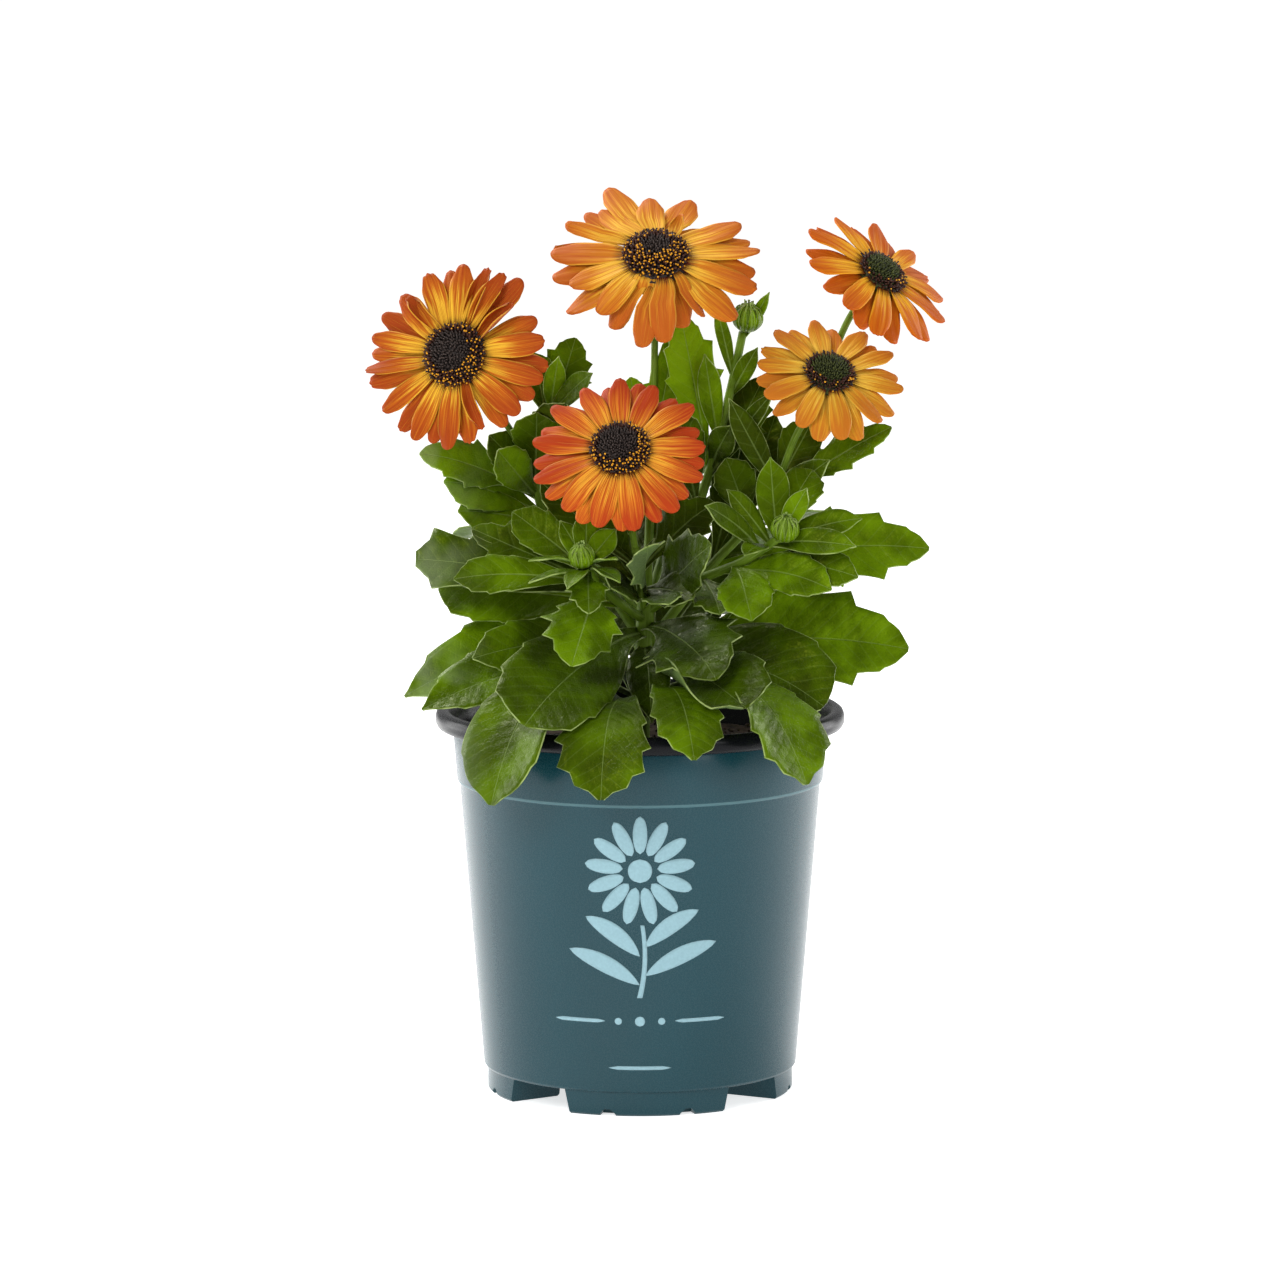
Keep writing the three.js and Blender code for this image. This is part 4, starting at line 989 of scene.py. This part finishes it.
def disc_into(bm, bloom, florets):
    """Adds the disc: a domed bed, spirals of florets a little out of line, pollen and dark tips."""
    right, up, out = axes_of(bloom)
    centre, r, heart = Vector(bloom["at"]), bloom["disc"], HEARTS[bloom["heart"]]
    turned = Matrix((right, up, out)).transposed().to_4x4()
    at = Matrix.Translation(place(centre)) @ turned @ Matrix.Scale(MM, 4)
    bed = [(r * q, dome(bloom, q) - 0.6 - 0.4 * q) for q in (0, 0.2, 0.4, 0.6, 0.75, 0.87, 0.95)]
    base = (0.97 * r, 0.2), (1.1 * r, -0.2), (1.1 * r, -0.9), (0.9 * r, -COLLAR / 2), (0, -COLLAR / 2)
    spun_into(bm, (*bed, *base), 40, at)
    luck = draws(bloom["seed"] + 80)
    pitch = r * math.sqrt(math.pi / florets)
    for k in range(florets):
        q = math.sqrt((k + 0.5) / florets) * 0.97 + 0.5 * pitch / r * (next(luck) - 0.5)
        a = k * GOLDEN_ANGLE + 0.6 * pitch / (r * q) * (next(luck) - 0.5)
        away = away_at(a)
        lean = (UP + away * (0.15 + q**3)).normalized()
        foot = away * (q * r) + UP * (dome(bloom, q) - 0.8)
        # the florets open from the rim inwards, and more of them on one side
        facing_side = math.cos(a - math.radians(heart["side"]))
        opened = q > heart["open_from"] - 0.12 * facing_side + 0.1 * (next(luck) - 0.5)
        tall = pitch * (0.9 + 0.6 * next(luck)) + 0.5 + (0.7 * next(luck) if opened else 0)
        top = pitch * (0.34 if opened else 0.2)
        stud_into(bm, at, foot, lean, tall, 0.54 * pitch, top, 3 if opened else 0)
        if opened and next(luck) < heart["pollen"] * (0.7 + 0.3 * facing_side):
            off = Vector((next(luck) - 0.5, next(luck) - 0.5, 0)) * pitch
            spot = at @ Matrix.Translation(foot + lean * (tall + 0.15) + off)
            size = 0.3 + 0.2 * next(luck)
            paint(bmesh.ops.create_icosphere(bm, subdivisions=1, radius=size, matrix=spot), 1)
    for k in range(heart["fringe"]):
        a = 2 * math.pi * (k + 0.7 * next(luck)) / heart["fringe"]
        away = away_at(a)
        lean = (UP * (0.25 + 0.5 * next(luck)) + away).normalized()
        foot = away * (0.88 * r) + UP * (dome(bloom, 0.92) - 0.8)
        stud_into(bm, at, foot, lean, heart["tips"] * r * (0.7 + 0.6 * next(luck)), 0.28, 0.36, 2)


# ---- The pot, its print and its filling ----

POT_SHELL = (
    (0, 10), (64.2, 10), (65.3, 10.3), (66, 11.3), (75.9, 130.8), (76.15, 131.5), (76.85, 132),
    (77.1, 132.8), (78.7, 153.2), (78.4, 153.9), (77.7, 153.9), (77.4, 153.2), (75.3, 133),
    (65, 12), (64, 11.1), (0, 11),
)
POT_LINER = (
    (0, 11.1), (63.6, 11.2), (64.8, 12.2), (75, 133), (77.2, 153.4), (77.9, 154.2), (83.4, 154.3),
    (85.2, 155), (86, 156.8), (86, 159.2), (85.4, 160.9), (84.1, 161.9), (82.4, 162), (80.9, 161.7),
    (80, 160.8), (76.5, 151.8), (64.5, 12.8), (63.6, 12), (0, 11.9),
)
RIDGE = (131.4, 132.9)  # heights between which the wall steps out, whose faces take a painted highlight along the moulding line
FOOT_COUNT, FOOT_ARC, FOOT_TURN, FOOT_OUTER, FOOT_DEPTH = 4, 60, 3, 64.4, 24
FOOT_DRAFT = 0.07  # by how much of its arc a foot widens towards the pot
NOTCH_ANGLE = 15  # from a foot's middle to each of its two notches, in degrees
NOTCH_HEIGHT, NOTCH_HALF, NOTCH_SLOPE = 2.8, 3.1, 2.2  # and half its width, and how steep its sides are
POT_STEPS = 144
INK_LIFT = 0.03  # from the pot's wall to the print, in mm


def pot_radius(z):
    """Outer radius of the pot's wall below its ridge."""
    (low_r, low_z), (high_r, high_z) = POT_SHELL[3:5]
    return low_r + (z - low_z) * (high_r - low_r) / (high_z - low_z)


def foot_into(bm, middle):
    """Adds one foot: a slice of a ring that widens upwards, with two notches under its outer edge."""
    near, far = FOOT_OUTER - FOOT_DEPTH, FOOT_OUTER
    profile = ((near, 10.4), (near, 0.9), (near + 0.9, 0), (far - 6.2, 0), (far - 6.0, 0.02),
               (far - 0.9, 0), (far, 0.9), (far, 10.4))
    start = Matrix.Rotation(math.radians(-FOOT_ARC / 2), 4, "Z")
    fresh = spun_into(bm, profile, 60, start, arc=FOOT_ARC, closed=True)
    bmesh.ops.holes_fill(bm, edges=[e for e in bm.edges if e.is_boundary], sides=0)
    for v in fresh:
        angle = math.degrees(math.atan2(v.co.y, v.co.x))
        r = math.hypot(v.co.x, v.co.y)
        if v.co.z < 2 and r > far - 6.1:
            miss = abs(abs(angle) - NOTCH_ANGLE) * math.radians(1) * r
            v.co.z = max(v.co.z, min(NOTCH_HEIGHT, (NOTCH_HALF - miss) * NOTCH_SLOPE))
        wider = math.radians(angle * (1 + FOOT_DRAFT * v.co.z / 10))
        v.co.x, v.co.y = r * math.cos(wider), r * math.sin(wider)
    bmesh.ops.transform(bm, matrix=Matrix.Rotation(math.radians(middle), 4, "Z"), verts=fresh)


def print_into(bm, at, turn, length, form, bend=0.0, across=6, rows=14):
    """Adds one inked shape, wrapped on the pot: half widths form(s) along a line, bent sideways."""
    lean = math.radians(turn)
    for v, u, s in grid_into(bm, across, rows):
        y = (s - 0.5) * length
        x = u * form(s) + bend * (1 - (2 * s - 1) ** 2)
        px = at[0] + x * math.cos(lean) + y * math.sin(lean)
        pz = at[1] - x * math.sin(lean) + y * math.cos(lean)
        r = pot_radius(pz) + INK_LIFT
        v.co = place((r * math.sin(px / r), -r * math.cos(px / r), pz))
        values(bm, v)


def ellipse(half):
    return lambda s: half * math.sqrt(max(0.0004, 4 * s * (1 - s)))


def leaflet(half):
    return lambda s: half * max(0.02, 1.9 * s**0.8 * (1 - s) ** 0.75)


def rule(s):
    return 0.75 * min(1, 8 * s, 8 * (1 - s)) + 0.05


DAISY_RAYS = 13


def motif_into(bm):
    """Adds the print: a plain daisy over a leafy sprig, with ruled lines and dots below it."""
    head = Vector((0, 105))
    for k in range(DAISY_RAYS):
        a = 2 * math.pi * k / DAISY_RAYS
        spot = head + Vector((math.sin(a), math.cos(a))) * 15.2
        print_into(bm, spot, math.degrees(a), 16, ellipse(3.0), across=4)
    print_into(bm, head, 0, 10, ellipse(5), across=8)
    print_into(bm, (0.4, 66.5), 2, 31, lambda s: 1.1 - 0.25 * s, bend=1.6, across=2, rows=24)
    for side, z, length, lean in ((1, 72, 27, 56), (-1, 68, 28, 54), (1, 60, 33, 66), (-1, 56, 33, 64)):
        aside = math.radians(lean)
        reach = Vector((side * math.sin(aside), math.cos(aside))) * (length / 2 + 1.4)
        print_into(bm, Vector((1, z)) + reach, side * lean, length, leaflet(5.6), bend=-side * 1.6)
    for x, half in ((0, 2.1), (-9, 1.5), (9, 1.5)):
        print_into(bm, (x, 41), 0, 2 * half, ellipse(half))
    for x, z, length in ((-25.5, 41, 22), (25.5, 41, 22), (0, 21, 26)):
        print_into(bm, (x, z), 90, length, rule, across=2)


MIX_TOP, MIX_EDGE = 146, 144  # heights of the filling in the middle and where it meets the pot
CRUMBS = 420


def mix_into(bm):
    """Adds the potting mix: a rough crowned surface with bark crumbs and grains of perlite on it."""
    def top(x, y):
        r, a = math.hypot(x, y), math.atan2(y, x)
        low = 1.3 * math.sin(3 * a + r / 9) * math.cos(r / 7) - 2 * (r / 75) ** 4
        waves = 1.1 * noise.noise(Vector((x, y, 0)) * 0.16)
        return MIX_TOP + low + waves + 0.7 * noise.noise(Vector((x, y, 5)) * 0.5)

    rings = [(75.2 * k / 34, MIX_TOP) for k in range(35)]
    fresh = spun_into(bm, (*rings, (75, 142), (64.2, 14), (63.5, 12.4), (0, 12.4)), 96)
    for v in fresh:
        x, y, z = v.co / MM
        if z > MIX_TOP - 1:
            edge = min(1, (75.3 - math.hypot(x, y)) / 3)
            v.co.z = (MIX_EDGE + (top(x, y) - MIX_EDGE) * max(0, edge)) * MM
    luck = draws(900)
    for k in range(CRUMBS):
        a, r = 2 * math.pi * next(luck), 73 * math.sqrt(next(luck))
        x, y, size = r * math.cos(a), r * math.sin(a), 0.7 + 1.7 * next(luck) ** 2
        pale = k % 14 == 0
        turn = Quaternion((next(luck), next(luck), next(luck)), 6 * next(luck)).to_matrix().to_4x4()
        shape = Matrix.Diagonal((1, 0.55 + 0.4 * next(luck), 0.5 + 0.3 * next(luck), 1))
        at = Matrix.Scale(MM, 4) @ Matrix.Translation((x, y, top(x, y) + 0.2)) @ turn @ shape
        paint(bmesh.ops.create_icosphere(bm, subdivisions=1, radius=size, matrix=at), 1 if pale else 0)


# ---- Operators ----

def move_to_axis(bm):
    bmesh.ops.translate(bm, vec=POT_AXIS * MM, verts=bm.verts)


class OSTEOSPERMUM_OT_pot(bpy.types.Operator):
    """Make the moulded pot: its wall, feet, rolled rim with the lining, and printed sprig"""
    bl_idname = "osteospermum.pot"
    bl_label = "Pot"

    def execute(self, context):
        s = context.scene.osteospermum_pot
        body = moulded_finish("pot plastic", s.body_colour, 0.27, 0.28)
        black = moulded_finish("rim plastic", s.rim_colour, 0.27, 0.12)
        ridge_highlight = moulded_finish("pot ridge", s.ridge_highlight_colour, 0.35, 0.28)
        shell = new_shape()
        spun_into(shell, POT_SHELL, POT_STEPS)
        # the faces of the step take the ridge finish: a painted highlight along the moulding line
        for face in shell.faces:
            if RIDGE[0] * MM < face.calc_center_median().z < RIDGE[1] * MM:
                face.material_index = 1
        move_to_axis(shell)
        soften(finish_piece("pot_wall", shell, "pot", (body, ridge_highlight), weld=True), 0.0002)
        liner = new_shape()
        spun_into(liner, POT_LINER, POT_STEPS)
        move_to_axis(liner)
        finish_piece("pot_rim", liner, "pot", (black,), weld=True)
        feet = new_shape()
        for i in range(FOOT_COUNT):
            foot_into(feet, -90 + FOOT_TURN + 90 * i)
        bmesh.ops.scale(feet, vec=(MM, MM, MM), verts=feet.verts)
        move_to_axis(feet)
        soften(finish_piece("pot_feet", feet, "pot", (body,), weld=True), 0.0003)
        ink = new_shape()
        motif_into(ink)
        pale = tuple(s.motif_colour)
        print_ink = grain_finish("print ink", tuple(c * 0.9 for c in pale), pale, 900, 0.45, 0.00003)
        inked = finish_piece("pot_print", ink, "pot", (print_ink,))
        thicken(inked, 0.0001, offset=1.0, underside=0)
        return {"FINISHED"}


class OSTEOSPERMUM_OT_potting_mix(bpy.types.Operator):
    """Make the potting mix with its crumbs"""
    bl_idname = "osteospermum.potting_mix"
    bl_label = "Potting mix"

    def execute(self, context):
        s = context.scene.osteospermum_pot
        dark = tuple(s.mix_colour)
        mix = grain_finish("damp peat", dark, tuple(c * 3.2 for c in dark), 260, 0.9, 0.001)
        pale = grain_finish("perlite", (0.5, 0.48, 0.44), (0.75, 0.73, 0.7), 900, 0.9, 0.0003)
        bm = new_shape()
        mix_into(bm)
        move_to_axis(bm)
        finish_piece("potting_mix_surface", bm, "potting_mix", (mix, pale), weld=True)
        return {"FINISHED"}


class OSTEOSPERMUM_OT_shoots(bpy.types.Operator):
    """Make every leafy shoot with its leaves, buds, stalks and cups"""
    bl_idname = "osteospermum.shoots"
    bl_label = "Shoots"

    def execute(self, context):
        finishes = leaf_finish(True), leaf_finish(False), stem_finish()
        for k, (name, shoot) in enumerate(SHOOTS.items()):
            shoot_pieces(name, shoot, 40 * k, finishes)
        return {"FINISHED"}


class OSTEOSPERMUM_OT_heads(bpy.types.Operator):
    """Make the five open flower heads: ray petals and discs"""
    bl_idname = "osteospermum.heads"
    bl_label = "Flower heads"

    def execute(self, context):
        s = context.scene.osteospermum_flowers
        brown = grain_finish("brown florets", (0.014, 0.009, 0.008), (0.070, 0.048, 0.040), 1100, 0.6)
        ripe = grain_finish("open florets", (0.014, 0.004, 0.003), (0.085, 0.026, 0.012), 1100, 0.65)
        green = grain_finish("green florets", (0.009, 0.014, 0.004), (0.085, 0.098, 0.018), 1100, 0.6)
        gold = tuple(s.pollen_colour)
        pollen = grain_finish("pollen", tuple(c * 0.7 for c in gold), gold, 2500, 0.7)
        stamen = grain_finish("stamens", (0.006, 0.004, 0.005), (0.02, 0.012, 0.012), 1500, 0.4)
        for name, bloom in BLOOMS.items():
            rays = new_shape()
            petals_into(rays, bloom)
            skins = petal_finish(bloom["finish"], True), petal_finish(bloom["finish"], False)
            thicken(finish_piece(f"{name}_ray_petals", rays, f"{name}_petals", skins), s.petal)
            bm = new_shape()
            disc_into(bm, bloom, s.florets)
            heart = green if bloom["heart"] in ("green", "dark") else brown
            skins = heart, pollen, stamen, ripe
            finish_piece(f"{name}_florets", bm, f"{name}_disc", skins, weld=True)
        return {"FINISHED"}


# Name, place, width and height in metres, and watts. All point at the middle of the plant.
LIT_POINT = Vector((0, 0, 0.2))
LAMPS = (
    ("key", (-1.0, -1.6, 1.5), 0.9, 0.9, 25),
    ("fill", (1.4, -1.5, 0.8), 0.9, 0.9, 10),
    ("left strip", (-1.25, 0.75, 0.35), 0.8, 1.4, 16),
    ("right strip", (1.25, 0.75, 0.35), 0.8, 1.4, 16),
    ("top", (-0.7, 0.7, 1.5), 0.9, 0.9, 26),
)
WORLD_LIGHT, FLOOR_GLOW, FLOOR_RADIUS = 0.42, 0.69, 30
AIM_HEIGHT, SENSOR_WIDTH = 0.1905, 36  # the height that the camera looks at, and its sensor in mm


class OSTEOSPERMUM_OT_stage(bpy.types.Operator):
    """Set up the pale floor, the soft lights and the camera"""
    bl_idname = "osteospermum.stage"
    bl_label = "Stage"

    def light(self, name, where, size, size_y, watts):
        lamp = bpy.data.lights.new(name, "AREA")
        lamp.shape, lamp.size, lamp.size_y, lamp.energy = "RECTANGLE", size, size_y, watts
        obj = bpy.data.objects.new(name, lamp)
        obj.location = where
        obj.rotation_euler = (LIT_POINT - Vector(where)).to_track_quat("-Z", "Y").to_euler()
        obj.visible_camera = False
        bpy.context.scene.collection.objects.link(obj)

    def execute(self, context):
        s = context.scene.osteospermum_stage
        bm = bmesh.new()
        bmesh.ops.create_circle(bm, cap_ends=True, radius=FLOOR_RADIUS, segments=96)
        mesh = bpy.data.meshes.new("floor")
        bm.to_mesh(mesh)
        bm.free()
        paper = Finish("floor", 0.9)
        cloudy = paper.band(paper.noise(3), 0.3, 0.7)
        paper.set(Base_Color=paper.blend(cloudy, (0.84, 0.84, 0.84), s.floor_colour),
                  Emission_Color=(1, 1, 1), Emission_Strength=FLOOR_GLOW)
        mesh.materials.append(paper.material)
        floor = bpy.data.objects.new("floor", mesh)
        context.scene.collection.objects.link(floor)

        for lamp in LAMPS:
            self.light(*lamp)

        world = bpy.data.worlds.new("studio")
        world.use_nodes = True
        background = world.node_tree.nodes["Background"]
        background.inputs["Color"].default_value = (1, 1, 1, 1)
        background.inputs["Strength"].default_value = WORLD_LIGHT
        context.scene.world = world
        context.scene.view_settings.view_transform = "Standard"

        aim = Vector((POT_AXIS.x * MM, POT_AXIS.y * MM, AIM_HEIGHT))
        camera = bpy.data.objects.new("camera", bpy.data.cameras.new("camera"))
        camera.data.lens, camera.data.sensor_width = s.lens, SENSOR_WIDTH
        back = Vector((0, -math.cos(s.elevation), math.sin(s.elevation)))
        camera.location = aim + back * s.distance
        camera.rotation_euler = (-back).to_track_quat("-Z", "Y").to_euler()
        context.scene.collection.objects.link(camera)
        context.scene.camera = camera
        return {"FINISHED"}


class OSTEOSPERMUM_PT_panel(bpy.types.Panel):
    """The plant's pieces, one button each"""
    bl_idname = "OSTEOSPERMUM_PT_panel"
    bl_label = "Potted osteospermum"
    bl_space_type = "VIEW_3D"
    bl_region_type = "UI"
    bl_category = "Osteospermum"

    def draw(self, context):
        for group in ("pot", "foliage", "flowers", "stage"):
            box = self.layout.box()
            settings = getattr(context.scene, f"osteospermum_{group}")
            for name in settings.__annotations__:
                box.prop(settings, name)
        for operator in STEPS:
            self.layout.operator(operator.bl_idname)


SETTINGS = {
    "osteospermum_pot": PotSettings,
    "osteospermum_foliage": FoliageSettings,
    "osteospermum_flowers": FlowerSettings,
    "osteospermum_stage": StageSettings,
}
STEPS = (
    OSTEOSPERMUM_OT_pot,
    OSTEOSPERMUM_OT_potting_mix,
    OSTEOSPERMUM_OT_shoots,
    OSTEOSPERMUM_OT_heads,
    OSTEOSPERMUM_OT_stage,
)


def register():
    for cls in (*SETTINGS.values(), *STEPS, OSTEOSPERMUM_PT_panel):
        bpy.utils.register_class(cls)
    for name, group in SETTINGS.items():
        setattr(bpy.types.Scene, name, bpy.props.PointerProperty(type=group))


def unregister():
    for name in SETTINGS:
        delattr(bpy.types.Scene, name)
    for cls in reversed((*SETTINGS.values(), *STEPS, OSTEOSPERMUM_PT_panel)):
        bpy.utils.unregister_class(cls)


def main():
    register()
    for operator in STEPS:
        group, name = operator.bl_idname.split(".")
        getattr(getattr(bpy.ops, group), name)()


if __name__ == "__main__":
    main()
